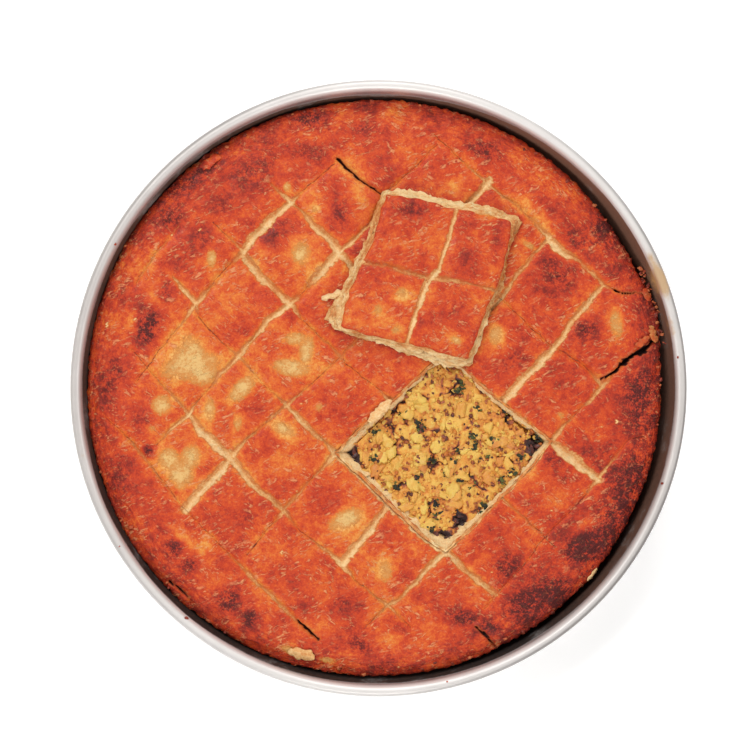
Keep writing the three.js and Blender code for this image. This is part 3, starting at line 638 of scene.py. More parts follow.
def place_selected(placed):
    """Moves each selected point to where placed puts it, all in mm."""
    data = bpy.context.object.data
    mesh = bmesh.from_edit_mesh(data)
    chosen = [point for point in mesh.verts if point.select]
    before = np.array([point.co for point in chosen]) / MM
    for point, where in zip(chosen, np.stack(placed(*before.T), axis=1)):
        point.co = Vector(where) * MM
    bmesh.update_edit_mesh(data)


def extrude_to(placed):
    """Extrudes the selected open edges and moves the new ones to where placed puts them."""
    bpy.ops.mesh.extrude_region_move(TRANSFORM_OT_translate={"value": (0, 0, -MM)})
    place_selected(placed)


def close_up():
    """Draws the selected ring together in one point and leaves edit mode."""
    bpy.ops.mesh.merge(type="COLLAPSE")
    bpy.ops.object.mode_set(mode="OBJECT")


def on_rim(inset, height):
    """Puts points on the pie's outline, drawn in by an inset, at a height."""
    def placed(x, y, z):
        turn = np.arctan2(y, x)
        way, level = turn * 170, z * 0 + height
        crumple = 0.45 * ripple(way, level * 0.8, 7, 21) + 0.3 * ripple(way, level, 2.6, 22)
        reach = pie_radius(turn) - inset + crumple * (1 if inset < 2 else 0.4)
        return reach * np.cos(turn), reach * np.sin(turn), level
    return placed


open_edges(crust, lambda x, y: math.hypot(x, y) > 140)
place_selected(on_rim(0, 31.8))
for inset, height in (
    (0.5, 30.2), (1.2, 28), (2.4, 25.2), (3.6, 19), (5.1, 13.8), (7, 7), (8.4, 4.2), (12.3, 1.8),
):
    extrude_to(on_rim(inset, height))
extrude_to(lambda x, y, z: (x * 0.5, y * 0.5, z))
close_up()


def on_hole_edge(x, y, z):
    _, near_x, near_y = beside_hole(x, y)
    return near_x, near_y, z


def pushed(x, y, middle, step):
    """Places moved away from a middle by a step."""
    ox, oy = x - middle[0], y - middle[1]
    stretch = 1 + step / np.maximum(np.hypot(ox, oy), 1)
    return middle[0] + ox * stretch, middle[1] + oy * stretch


def lower_left(x, y):
    """How far a place is on the hole's lower left side, from 0 to 1, where the dough reaches in further."""
    ox, oy = x - hole_middle[0], y - hole_middle[1]
    return np.clip(-(ox + oy) / (1.2 * np.hypot(ox, oy)), 0, 1)


def in_hole(grow, drop, ragged):
    """Puts points of the hole's wall nearer its middle or further out, at a depth under the pie's top."""
    def placed(x, y, z):
        torn = ragged * ripple(x, y, 8, int(30 + 10 * drop))
        x, y = pushed(x, y, hole_middle, grow * (0.35 + 0.35 * lower_left(x, y)) + torn)
        return x, y, pie_top(x, y) - drop
    return placed


def out_to_room(share, height):
    """Puts points on the way from the hole out to the side of the room for the filling, under the crust."""
    def placed(x, y, z):
        ox, oy = x - hole_middle[0], y - hole_middle[1]
        reach = np.hypot(ox, oy)
        ox, oy = ox / reach, oy / reach
        inward = hole_middle[0] * ox + hole_middle[1] * oy
        wall = np.sqrt(inward**2 - math.hypot(*hole_middle) ** 2 + (159 - height[1]) ** 2) - inward
        go = reach + (wall - reach) * share
        x, y = hole_middle[0] + ox * go, hole_middle[1] + oy * go
        return x, y, pie_top(x, y) - 8 if height[0] is None else z * 0 + height[0]
    return placed


open_edges(crust, lambda x, y: math.hypot(x, y) <= 140)
place_selected(on_hole_edge)
for grow, drop, ragged in (
    (-0.1, 2.0, 0.1), (-0.5, 2.9, 0.3), (-1.6, 3.6, 0.4), (-LEDGE, 4.4, 0.4), (-LEDGE, 6.2, 0.3),
    (-LEDGE, 8, 0),
):
    extrude_to(in_hole(grow, drop, ragged))
for share, height in ((0.3, (None, 0)), (0.65, (None, 0)), (1, (None, 0)), (1, (14, 4)), (1, (5.8, 12))):
    extrude_to(out_to_room(share, height))
close_up()

# The knife cuts sink the top, the tiles between them swell a little, and the dough is wrinkled all over.
points = points_of(crust)
x, y, z = points.T
share = np.hypot(x, y) / pie_radius(np.arctan2(y, x))
beside, _, _ = beside_hole(x, y)
sink, cream, slit, halo, near = cut_marks({**CUTS, **SPLITS}, x, y, 11)
wrinkles = 0.16 * ripple(x, y, 14, 5) + 0.1 * ripple(x, y, 6, 6)
edge_lump = (0.4 * ripple(x, y, 11, 7) + 0.22 * ripple(x, y, 4, 8)) * ease(0.9, 0.97, share)
top = (z > pie_top(x, y) - 60) & (np.abs(z) < 1e-3) & (share < 1.001) & (beside > -0.01)
surface = pie_top(x, y) + wrinkles + edge_lump - sink * ease(1.005, 0.985, share)
surface -= 0.9 * np.exp(-np.clip(beside, 0, None) / 1.3)
points[:, 2] = np.where(top & (share < 0.9985), surface, z)
set_points(crust, points)
crust = finish_mesh("baked_crust")
on_top = ease(1.002, 0.995, share)


def bake_of(x, y):
    """How brown the glazed top has baked at each place: 0.3 golden, 0.5 orange, 0.8 dark."""
    far = np.hypot(x, y)
    darker_side = 0.1 * ease(40, 150, x * 0.93 - y * 0.1) + 0.05 * ease(60, 150, -y * 0.4 + x * 0.6)
    ring = 0.04 * ease(118, 158, far) + 0.05 * ease(155, 167, far)
    uneven = 0.05 * ripple(x, y, 30, 41) * ease(90, 150, far)
    tone = 0.5 + 0.04 * ripple(x, y, 34, 42) + darker_side + ring + uneven
    return tone + 0.72 * spots(DARK_SPOTS, x, y) - 0.36 * spots(GOLD_SPOTS, x, y)


in_wall = ease(0.05, -0.3, beside) * (np.abs(x - hole_middle[0]) < 80)
cream = np.maximum(cream * on_top, ease(0.9 + 0.4 * ripple(x, y, 6, 43), 0.1, beside))
paint(crust, "bake", bake_of(x, y) - 0.14 * halo - 0.06 * near)
paint(crust, "pale", spots(PALE_SPOTS, x, y) * (1 - in_wall))
paint(crust, "cream", np.maximum(cream, in_wall))
paint(crust, "gloss", (1 - 0.85 * ease(0.86, 0.97, share)) * (1 - 0.9 * near) * ease(0.5, 4, beside))
# Dark lines of painted shade in the cuts and the splits, kept off the hole's edge.
paint(crust, "slit", np.where(beside < 1.5, 0, slit) * on_top)
paint(crust, "rim", ease(0.86, 0.95, share))

# The look of the pastry, shared by the crust, its loose flaps and the lifted block.
pastry = bpy.data.node_groups.new("glazed_pastry", "ShaderNodeTree")
PAINTED = ("bake", "pale", "cream", "slit", "gloss", "rim")
for label in PAINTED:
    pastry.interface.new_socket(label.capitalize(), in_out="INPUT", socket_type="NodeSocketFloat")
pastry.interface.new_socket("Color", in_out="OUTPUT", socket_type="NodeSocketColor")
for label in ("Roughness", "Coat", "Height"):
    pastry.interface.new_socket(label, in_out="OUTPUT", socket_type="NodeSocketFloat")
given = node(pastry, "NodeGroupInput").outputs
where = node(pastry, "ShaderNodeTexCoord").outputs["Object"]
broad = grain(pastry, where, 15, 3)
medium = grain(pastry, where, 4.5, 4, 0.65)
fine = grain(pastry, where, 1.2, 3, 0.75)
clusters = grain(pastry, where, 20, 2)
# Round the pie's edge the wrinkles run along the edge.
place = node(pastry, "ShaderNodeSeparateXYZ", {0: where})
way_round = times(pastry, sums(pastry, "ARCTAN2", place.outputs["Y"], place.outputs["X"]), 0.05)
bent = {"X": from_axis(pastry, place), "Y": way_round, "Z": place.outputs["Z"]}
edge_wrinkles = grain(pastry, node(pastry, "ShaderNodeCombineXYZ", bent).outputs[0], 1.7, 3, 0.65, 0.4)


def ramp(tree, value, *stops):
    """A colour ramp through stops, each a place and the three parts of a colour."""
    made = node(tree, "ShaderNodeValToRGB", {0: value})
    while len(made.color_ramp.elements) < len(stops):
        made.color_ramp.elements.new(0.5)
    for element, (position, *colour) in zip(made.color_ramp.elements, stops):
        element.position, element.color = position, srgb(*colour)
    return made.outputs[0]


# Dark spots are grains of burnt glaze on the brown.
burnt = sums(pastry, "MAXIMUM", sums(pastry, "SUBTRACT", given["Bake"], 0.6), 0.0)
grains = stepped(pastry, nudged(pastry, fine, (medium, 0.7), (broad, 0.35)), 0.36, 0.62, 0.35, 1.65)
tone = sums(pastry, "ADD", sums(pastry, "MINIMUM", given["Bake"], 0.6), times(pastry, burnt, grains))
tone = sums(pastry, "ADD", nudged(pastry, tone, (broad, 0.45), (medium, 0.6), (fine, 0.5)), 0.025)
tone = nudged(pastry, tone, (edge_wrinkles, times(pastry, given["Rim"], 0.6)))
tone = sums(pastry, "SUBTRACT", tone, times(pastry, given["Pale"], 0.32))
glazed = ramp(
    pastry, tone, (0.08, 220, 168, 96), (0.24, 216, 136, 58), (0.38, 208, 98, 38), (0.5, 196, 70, 30),
    (0.62, 176, 52, 28), (0.76, 138, 40, 28), (1.0, 78, 24, 22),
)


def strokes(turn, length, width):
    """Short strokes that mostly run one way, where noise drawn out along a direction peaks."""
    drawn_out = {"Vector": where, "Rotation": (0, 0, math.radians(turn)), "Scale": (length / width, 1, 1)}
    turned = node(pastry, "ShaderNodeMapping", drawn_out, vector_type="TEXTURE").outputs[0]
    return stepped(pastry, grain(pastry, turned, width, 2, 0.6, 1.0), 0.52, 0.64)


# Here and there the glazed skin is crinkled in short ridges, which run one way or another. They are raised
# in the relief and painted lighter as highlights, except on the dark spots.
patchy = times(pastry, stepped(pastry, clusters, 0.46, 0.58), stepped(pastry, medium, 0.38, 0.54))
other_patchy = times(pastry, stepped(pastry, clusters, 0.5, 0.38), stepped(pastry, medium, 0.4, 0.56))
ridges = times(pastry, strokes(22, 5.5, 2.1), patchy), times(pastry, strokes(-32, 4.4, 1.9), other_patchy)
ridge = sums(pastry, "MAXIMUM", *ridges)
painted_glints = times(pastry, ridge, stepped(pastry, tone, 0.85, 0.5, 0.05, 0.85))
glazed = mixed(pastry, painted_glints, glazed, srgb(220, 150, 100))
pale_worn = nudged(pastry, 1.0, (medium, 2.0), (fine, 2.0), (broad, 0.7))
pale_value = times(pastry, given["Pale"], pale_worn)
pale_mask = stepped(pastry, pale_value, 0.3, 0.46)
pale_colour = ramp(
    pastry, pale_value, (0.24, 196, 106, 44), (0.44, 196, 124, 60), (0.66, 202, 146, 84), (1.0, 214, 174, 112)
)
cream_mask = stepped(pastry, nudged(pastry, given["Cream"], (medium, 0.4), (fine, 0.4)), 0.2, 0.62)
cream_tone = sums(pastry, "SUBTRACT", times(pastry, given["Cream"], 0.95), 0.12)
cream_colour = ramp(
    pastry, nudged(pastry, cream_tone, (medium, 0.7), (fine, 0.8)),
    (0.2, 168, 84, 44), (0.42, 196, 126, 72), (0.62, 214, 162, 104), (0.9, 232, 200, 148),
)
# The dark of painted shade in the cuts and the splits: brown in the narrow cuts, near black in the splits.
slit_shade_mask = stepped(pastry, nudged(pastry, given["Slit"], (medium, 0.5), (fine, 0.3)), 0.25, 0.6)
slit_shade_colour = ramp(pastry, given["Slit"], (0.5, 112, 42, 26), (0.85, 36, 12, 8))
colour = mixed(pastry, pale_mask, glazed, pale_colour)
colour = mixed(pastry, cream_mask, colour, cream_colour)
dull = sums(pastry, "MAXIMUM", pale_mask, cream_mask)
height = sums(pastry, "ADD", *(times(pastry, part, 0.5) for part in (fine, ridge, medium)))
feed(pastry, node(pastry, "NodeGroupOutput"), {
    "Color": mixed(pastry, slit_shade_mask, colour, slit_shade_colour),
    "Roughness": stepped(pastry, dull, 0.0, 1.0, 0.5, 0.8),
    "Coat": times(pastry, given["Gloss"], stepped(pastry, dull, 0.0, 1.0, 0.3, 0.0)),
    "Height": nudged(pastry, height, (edge_wrinkles, times(pastry, given["Rim"], 1.6))),
})


def pastry_material(name, strength):
    """A pastry material that reads what is painted on the piece."""
    material, tree, shader, _ = new_material(name)
    marks = {label.capitalize(): painted(tree, label) for label in PAINTED}
    look = node(tree, "ShaderNodeGroup", node_tree=pastry)
    feed(tree, look, marks)
    feed(tree, shader, {
        "Base Color": look.outputs["Color"], "Roughness": look.outputs["Roughness"],
        "Coat Weight": look.outputs["Coat"], "Coat Roughness": 0.27, "Coat IOR": 1.35,
        "Specular IOR Level": 0.2, "Subsurface Weight": 0.06, "Subsurface Radius": (1.0, 0.45, 0.2),
        "Subsurface Scale": 0.0015, "Normal": relief(tree, strength, 1, look.outputs["Height"]),
    })
    return material


put_on(crust, pastry_material("baked_pastry", 0.8), "pastry_crust", "pastry_crust")

# ---------------------------------------------------------------- the torn sheets round the hole
# Thin sheets of dough, baked pale, that stick out of the crust where the square was cut and pulled out.
# Each is a ring drawn along the hole's edge and pulled in to a ragged inner edge, then thickened.
# They are palest at some corners of the hole, written like the pale spots.
PALE_CORNERS = (
    (-20, -40, 14, 9, -45, 1), (36, -92, 22, 12, -20, 1), (55, -76, 22, 8, 45, 0.5), (0, -14, 12, 8, 45, 0.8),
    (92, -40, 14, 9, 45, 0.6), (40, 14, 14, 9, -40, 0.7), (14, -72, 12, 8, -45, 0.5),
)


def round_hole(depth):
    """Puts a ring of points along the hole's edge, 1.2 mm outside it and at a depth."""
    def placed(x, y, z):
        spread = np.linspace(0, len(hole_x), len(x), endpoint=False)
        around = np.arange(len(hole_x) + 1)
        x, y = (np.interp(spread, around, np.append(line, line[0])) for line in (hole_x, hole_y))
        x, y = pushed(x, y, hole_middle, 1.2)
        return x, y, pie_top(x, y) - depth + 0.4
    return placed


def pulled_in(pull, step, reach_in, depth, seed):
    """Pulls a ring of points in by a step of the sheet's ragged reach, and lets it droop."""
    def placed(x, y, z):
        ragged = 0.3 * ripple(x, y, 17, seed) + 0.3 * ripple(x, y, 6, seed + 10)
        ragged = ragged + 0.2 * ripple(x, y, 2.6, seed)
        reach = 1.2 + reach_in * (0.3 + 0.7 * lower_left(x, y)) + ragged
        x, y = pushed(x, y, hole_middle, -step * reach)
        return x, y, pie_top(x, y) - depth - 0.35 * pull * ripple(x, y, 12, seed + 3) - 0.3 * pull
    return placed


def thicken(sheet, thickness):
    """Gives a sheet its thickness in mm, half to each side."""
    solid = sheet.modifiers.new("dough", "SOLIDIFY")
    solid.thickness, solid.offset = thickness * MM, 0
    bpy.ops.object.modifier_apply(modifier="dough")


def paint_dough(sheet, bake, cream, gloss=0):
    """Paints a sheet that has no pale spots and no cuts."""
    for name, values in zip(PAINTED, (bake, 0, cream, 0, gloss)):
        paint(sheet, name, np.zeros(len(sheet.data.vertices)) + values)


sheet_material = pastry_material("pale_dough", 0.7)
for level, (reach_in, depth, seed) in enumerate(((0.3, 1.5, 51), (0.9, 2.6, 52), (1.6, 3.8, 53))):
    begin(bpy.ops.mesh.primitive_circle_add, vertices=len(hole_x) * 3, radius=0.05)
    edit_all()
    place_selected(round_hole(depth))
    for pull, step in ((0.45, 0.45), (0.8, 0.35), (1, 0.2)):
        extrude_to(pulled_in(pull, step, reach_in, depth, seed))
    sheet = finish_mesh(f"torn_sheet_{level + 1}")
    thicken(sheet, 0.55)
    x, y, _ = points_of(sheet).T
    cream = 0.5 + 0.45 * spots(PALE_CORNERS, x, y) + 0.2 * ripple(x, y, 7, seed + 5)
    paint_dough(sheet, 0.3 + 0.1 * ripple(x, y, 9, seed), cream)
    put_on(sheet, sheet_material, "pastry_crust")

# ---------------------------------------------------------------- the potato filling
# A thick layer of crumbled fried potato through the whole pie, seen where the square is missing. Its bed is
# one body under the crust, and real lumps of potato, crumbs, onion and herbs lie on it in the hole.
# Hollows at the hole's corners: x, y, length, width, turn in degrees and strength. The bed sinks in them and
# is painted near black there, as shade.
HOLLOWS = (
    (-16.5, -39.5, 9, 11, 20, 1.1), (38, -87.5, 10, 6, 0, 1.1), (47, -78, 6, 8, 0, 0.9),
    (91, -35, 8, 7, 0, 0.9), (62, 0, 5, 5, 0, 0.8),
)
filling = begin(bpy.ops.mesh.primitive_grid_add, x_subdivisions=170, y_subdivisions=170, size=84 * MM)
edit_all()
bpy.ops.transform.rotate(value=math.radians(45), orient_axis="Z", center_override=(0, 0, 0))
bpy.ops.transform.translate(value=(hole_middle[0] * MM, hole_middle[1] * MM, 0))
bpy.ops.object.mode_set(mode="OBJECT")

# The chunks of potato that have run together in it: the middle of each, its size in mm and its tint.
draw = random.Random(60)
CHUNK_RANGES = ((-26, 104), (-97, 28), (3.2, 7.5), (0.25, 1))
CHUNKS = [tuple(draw.uniform(low, high) for low, high in CHUNK_RANGES) for _ in range(560)]


def nearest_chunk(x, y):
    """For each place, how far out it is in its chunk of potato, as a share, and the tint of that chunk."""
    x, y = x + 0.9 * ripple(x, y, 6, 61), y + 0.9 * ripple(x, y, 6, 62)
    share, tint = np.full(x.shape, 9.0), np.zeros(x.shape)
    for middle_x, middle_y, size, own_tint in CHUNKS:
        far = np.hypot(x - middle_x, y - middle_y) / size
        tint = np.where(far < share, own_tint, tint)
        share = np.minimum(share, far)
    return share, tint


def bed_height(x, y):
    """Height of the crumbled potato: soft chunks that have run together, sunk at the hole's corners."""
    bulge = 2.3 * np.sqrt(np.clip(1 - nearest_chunk(x, y)[0] ** 2, 0, 1))
    lumps = 0.5 * ripple(x, y, 14, 63) + 0.16 * ripple(x, y, 2.4, 64)
    return pie_top(x, y) - 7.2 + bulge + lumps - 3.4 * spots(HOLLOWS, x, y)


open_edges(filling, lambda x, y: True)
place_selected(lambda x, y, z: (x, y, pie_top(x, y) - 8.6))
for share, height in (
    (0.35, (None, 0.3)), (0.7, (None, 0.3)), (1, (None, 0.3)), (1, (14, 4.4)), (1, (6.1, 12.4)),
):
    extrude_to(out_to_room(share, height))
    place_selected(lambda x, y, z: (x, y, z - (0.5 if z.min() > 20 else 0)))
close_up()
points = points_of(filling)
shown = np.abs(points[:, 2]) < 1e-3
points[shown, 2] = bed_height(points[shown, 0], points[shown, 1])
set_points(filling, points)
filling = finish_mesh("potato_bed")
x, y = points_of(filling)[:, :2].T
share, tint = nearest_chunk(x, y)
# The bed is painted darker between the chunks, as shade in the creases, over a little random browning; in the
# hollows it is painted near black as shade.
browned_and_crease_shade = 0.16 * ease(0.2, 1, ripple(x, y, 22, 65)) + 0.75 * ease(0.5, 1.05, share)
paint(filling, "tint", 0.36 + 0.5 * tint - browned_and_crease_shade - 1.7 * spots(HOLLOWS, x, y))


def lump_shape(name, cuts, roughness, seed):
    """One rounded, uneven lump about 1 mm across, modelled once and copied for every lump of its kind."""
    begin(bpy.ops.mesh.primitive_cube_add, size=MM)
    edit_all()
    bpy.ops.mesh.subdivide(number_cuts=cuts, smoothness=0)
    bpy.ops.mesh.select_all(action="SELECT")
    bpy.ops.transform.tosphere(value=0.65)
    lump = finish_mesh(name)
    points = points_of(lump)
    x, y, z = points.T
    uneven = ripple(x * 9, y * 9 + z * 7, 9, seed) + 0.6 * ripple(y * 9, x * 9, 4, seed + 1)
    set_points(lump, points * (1 + roughness * uneven)[:, None])
    return lump


def strew(name, shapes, placings):
    """Copies of the shapes at placings (x, y, z, three sizes, three turns, tint), joined in one piece."""
    kept = [(points_of(shape), corners_of(shape)) for shape in shapes]
    all_points, all_faces, tints, count = [], [], [], 0
    for k, (px, py, pz, sizes, turns, tint) in enumerate(placings):
        at, faces = kept[k % len(kept)]
        (cx, cy, cz), (sx, sy, sz) = np.cos(turns), np.sin(turns)
        spin_x = np.array([[1, 0, 0], [0, cx, -sx], [0, sx, cx]])
        spin_y = np.array([[cy, 0, sy], [0, 1, 0], [-sy, 0, cy]])
        spin_z = np.array([[cz, -sz, 0], [sz, cz, 0], [0, 0, 1]])
        all_points.append((at * np.array(sizes)) @ (spin_z @ spin_y @ spin_x).T + np.array([px, py, pz]))
        all_faces.append(faces + count)
        tints.append(np.full(len(at), tint))
        count += len(at)
    data = bpy.data.meshes.new(name)
    data.from_pydata((np.concatenate(all_points) * MM).tolist(), [], np.concatenate(all_faces).tolist())
    piece = bpy.data.objects.new(name, data)
    bpy.context.collection.objects.link(piece)
    paint(piece, "tint", np.concatenate(tints))
    data.polygons.foreach_set("use_smooth", [True] * len(data.polygons))
    data.update()
    return piece


def strewn_places(draw, count, margin):
    """Random places on the filling, with heights, a margin from the hole's edge and not in the hollows."""
    x = np.array([draw.uniform(-24, 102) for _ in range(count)])
    y = np.array([draw.uniform(-95, 26) for _ in range(count)])
    kept = (beside_hole(x, y)[0] < -margin) & (spots(HOLLOWS, x, y) < 0.35)
    return list(zip(x[kept], y[kept], bed_height(x[kept], y[kept])))


def any_turns(draw, tilt):
    """Random turns about the three axes, in radians: up to a tilt about x and y, and any about z."""
    return draw.uniform(-tilt, tilt), draw.uniform(-tilt, tilt), draw.uniform(0, 6.3)


draw = random.Random(70)
potato_shapes = [lump_shape(f"lump_{k}", 6, 0.19, 80 + 3 * k) for k in range(6)]
crumb_shapes = [lump_shape(f"crumb_{k}", 2, 0.16, 100 + 3 * k) for k in range(5)]

lumps = []
for x, y, bed in strewn_places(draw, 260, 2.4):
    size = draw.uniform(3, 8.5)
    sizes = (size, size * draw.uniform(0.45, 0.85), size * draw.uniform(0.3, 0.42))
    turns = any_turns(draw, 0.4)
    lumps.append((x, y, bed + draw.uniform(-0.9, 0.1), sizes, turns, draw.uniform(0.2, 0.95)))
potato = strew("potato_lumps", potato_shapes, lumps)

crumbs = []
for x, y, bed in strewn_places(draw, 2500, 1.2):
    size = draw.choice((0.8, 1.1, 1.4, 1.8, 2.4))
    sizes = (size, size * draw.uniform(0.5, 1), size * draw.uniform(0.4, 0.8))
    turns = any_turns(draw, 1)
    crumbs.append((x, y, bed + draw.uniform(-0.1, 0.4), sizes, turns, draw.uniform(0, 0.95)))
crumbled = strew("potato_crumbs", crumb_shapes, crumbs)

onions = []
for x, y, bed in strewn_places(draw, 150, 1.8):
    sizes = (draw.uniform(1.6, 4), draw.uniform(0.7, 1.6), draw.uniform(0.6, 1))
    turns = any_turns(draw, 0.5)
    onions.append((x, y, bed + draw.uniform(0.1, 0.6), sizes, turns, draw.uniform(0.2, 1)))
# Longer bits of onion lie in the hollows, tinted darker than the others as painted shade.
for x, y, length, width, turn, _ in HOLLOWS:
    for _ in range(7):
        px, py = x + draw.uniform(-0.5, 0.5) * length, y + draw.uniform(-0.5, 0.5) * width
        bed = float(bed_height(np.array([px]), np.array([py]))[0])
        sizes = (draw.uniform(3, 6), draw.uniform(1.2, 2.4), 1)
        onions.append((px, py, bed + 0.3, sizes, (0.2, -0.2, draw.uniform(0, 6.3)), draw.uniform(-0.1, 0.3)))
onion = strew("fried_onion", potato_shapes, onions)

# Leaves of parsley where they show, each with a few cut bits beside it.
PARSLEY = (
    (14, -16), (23, -21), (-2, -26), (-3, -42), (32, -43), (48, -36), (55, -29), (62, -41), (49, 2),
    (76, -13), (95, -30), (55, -58), (21, -54), (33, -67), (34, -75), (49, -54), (73, -54), (61, -73),
    (45, -44), (40, -50), (58, -12), (84, -42), (10, -58), (68, -30), (47, -2), (26, -23), (56, -34),
    (31, -82), (63, -70), (78, -50),
)
leaves = []
for x, y in PARSLEY:
    for bit in range(8):
        spread = 0.4 if bit == 0 else 2.6
        px, py = np.array([x + draw.uniform(-spread, spread)]), np.array([y + draw.uniform(-spread, spread)])
        if beside_hole(px, py)[0][0] > -1.2:
            continue
        size = draw.uniform(1.8, 3) if bit < 2 else draw.uniform(0.8, 1.8)
        turns = any_turns(draw, 0.4)
        height = float(bed_height(px, py)[0]) + draw.uniform(0.5, 1.1)
        sizes = (size, size * draw.uniform(0.4, 0.8), 0.6)
        leaves.append((px[0], py[0], height, sizes, turns, draw.uniform(0, 1)))
parsley = strew("parsley", crumb_shapes, leaves)
for shape in potato_shapes + crumb_shapes:
    bpy.data.objects.remove(shape)


def food_material(name, stops, roughness, coat, size, soft=0.12):
    """Cooked food in small pieces: each piece has its own tint, with finer mottling over it."""
    material, tree, shader, coordinates = new_material(name)
    medium = grain(tree, coordinates, size, 4, 0.6)
    fine = grain(tree, coordinates, size * 0.3, 3, 0.7)
    tone = nudged(tree, painted(tree, "tint"), (medium, 0.9), (fine, 0.5))
    feed(tree, shader, {
        "Base Color": ramp(tree, stepped(tree, tone, -0.2, 1.2), *stops),
        "Roughness": stepped(tree, fine, 0.2, 0.8, roughness, roughness + 0.2),
        "Coat Weight": coat, "Coat Roughness": 0.25, "Subsurface Weight": soft,
        "Subsurface Radius": (1.0, 0.6, 0.2), "Subsurface Scale": 0.002,
        "Normal": relief(tree, 0.7, 0.6, sums(tree, "ADD", fine, medium)),
    })
    return material


potato_look = food_material(
    "fried_potato",
    ((0.0, 178, 98, 40), (0.25, 202, 130, 52), (0.55, 212, 154, 64), (1.0, 214, 180, 84)),
    0.5, 0.15, 5,
)
crumb_look = food_material(
    "potato_crumb",
    (
        (0.0, 46, 18, 16), (0.14, 116, 54, 30), (0.28, 186, 102, 38), (0.5, 210, 140, 52),
        (1.0, 220, 182, 86),
    ),
    0.55, 0.1, 4,
)
onion_look = food_material(
    "browned_onion",
    ((0.0, 40, 16, 16), (0.3, 96, 40, 26), (0.6, 160, 78, 36), (1.0, 196, 122, 58)),
    0.45, 0.2, 3,
)
parsley_look = food_material(
    "chopped_parsley",
    ((0.0, 18, 16, 8), (0.45, 34, 36, 14), (0.75, 58, 64, 24), (1.0, 98, 100, 40)),
    0.6, 0.0, 2, 0,
)
for piece, look in (
    (filling, crumb_look), (potato, potato_look), (crumbled, crumb_look), (onion, onion_look),
    (parsley, parsley_look),
):
    put_on(piece, look, "potato_filling", "potato_filling")

# ---------------------------------------------------------------- the lifted block
# Four squares of the top, cut out in one block and laid on the pie. Its browned top is a slab like the
# crust, and the thin pale sheets under it have spread and frayed at its edges. Its outlines are four sides,
# each a line of places from corner to corner: back, right, front and left.
BLOCK_TOP = (
    ((4.5, 112.5), (14, 112), (27, 109.5), (40, 105), (53, 103), (66, 100.5), (78, 97)),
    ((78, 97), (76, 84), (73, 71.5), (69.5, 60), (63.5, 47), (57.5, 30.5), (52, 17)),
    ((52, 17), (41, 19.5), (27, 23.5), (15, 26.5), (4, 29), (-9, 32), (-22, 35.5)),
    ((-22, 35.5), (-20.5, 43), (-17, 56), (-9, 73.5), (-3, 86), (0.5, 100), (4.5, 112.5)),
)
BLOCK_FOOT = (
    ((2.5, 115.5), (13, 116.5), (27, 113.5), (41, 110), (54, 109), (68, 105.5), (84.5, 98)),
    ((84.5, 98), (78.5, 87), (74.5, 74), (71.5, 59), (65.5, 46.5), (60.5, 30), (54, 13.5)),
    ((54, 13.5), (43, 12), (27, 16.5), (14, 21.5), (1, 26), (-12, 30), (-26, 34.5)),
    ((-26, 34.5), (-31.5, 41), (-23.5, 55.5), (-13, 73.5), (-6.5, 88), (-2.5, 103), (2.5, 115.5)),
)
BLOCK_THICK = 8.2
BLOCK_CUTS = {
    "c1": (
        (45.5, 105, 1.8, 0.8), (40, 84.5, 2.2, 0.9), (35, 69.5, 2.2, 0.9), (29, 62.5, 3.8, 1),
        (22.5, 45.5, 3, 1), (16.5, 25.5, 1.8, 1),
    ),
    "c2": (
        (-10, 74, 2.6, 0.4), (6.5, 71, 3.4, 0.35), (28, 65, 3.5, 0.5), (42.5, 63, 2.2, 0.6),
        (59, 59.5, 2, 0.35), (70, 56.5, 2.3, 0.8),
    ),
}
BLOCK_GOLD = (
    (2, 42, 24, 10, -20, 0.35), (14, 54, 9, 8, 0, 0.5), (44, 30, 22, 8, -15, 0.35),
    (24, 84, 20, 12, 0, 0.25), (60, 102, 18, 8, -12, 0.4), (-10, 38, 22, 8, -14, 0.35),
)
BLOCK_DARK = (
    (20, 104, 24, 8, -12, 0.2), (52, 74, 12, 16, 0, 0.14), (68, 88, 10, 16, 0, 0.16),
    (44, 46, 14, 12, 0, 0.14),
)
BLOCK_PALE = (
    (14, 55, 8, 8, 0, 0.62), (0, 46, 6, 8, -20, 0.5), (45, 28, 7, 4, -20, 0.75), (11, 34, 9, 6, 30, 0.5),
    (67, 101, 8, 4, -12, 0.5),
)
# How pale the sheets at its edge are: bright along the back and the front, browned at the left and the right.
BLOCK_SKIRT = (
    (30, 112, 80, 14, -10, 1), (-24, 36, 22, 16, 0, 0.75), (36, 14, 60, 14, -16, 1.1),
    (62, 28, 34, 10, 65, 1), (-22, 50, 20, 9, 60, 0.8), (74, 98, 16, 10, 0, 0.8),
    (-14, 72, 46, 6, 70, 0.75), (4, 25, 30, 8, -16, 1),
)


def on_block(outline, x, y):
    """Spreads a square of places from -1 to 1 over an outline of four sides."""
    u, v = (x + 1) / 2, (y + 1) / 2
    spread = []
    for k in (0, 1):
        back, right, front, left = (
            np.interp(t, np.linspace(0, 1, len(side)), [place[k] for place in side])
            for side, t in zip(outline, (u, 1 - v, 1 - u, v))
        )
        corners = [side[0][k] for side in outline]
        flat = (1 - v) * ((1 - u) * corners[3] + u * corners[2]) + v * ((1 - u) * corners[0] + u * corners[1])
        spread.append((1 - v) * front + v * back + (1 - u) * left + u * right - flat)
    return spread


def outline_between(share):
    """An outline between the block's foot and its top."""
    return [
        [tuple(f + (t - f) * share for f, t in zip(low, high)) for low, high in zip(foot, top)]
        for foot, top in zip(BLOCK_FOOT, BLOCK_TOP)
    ]


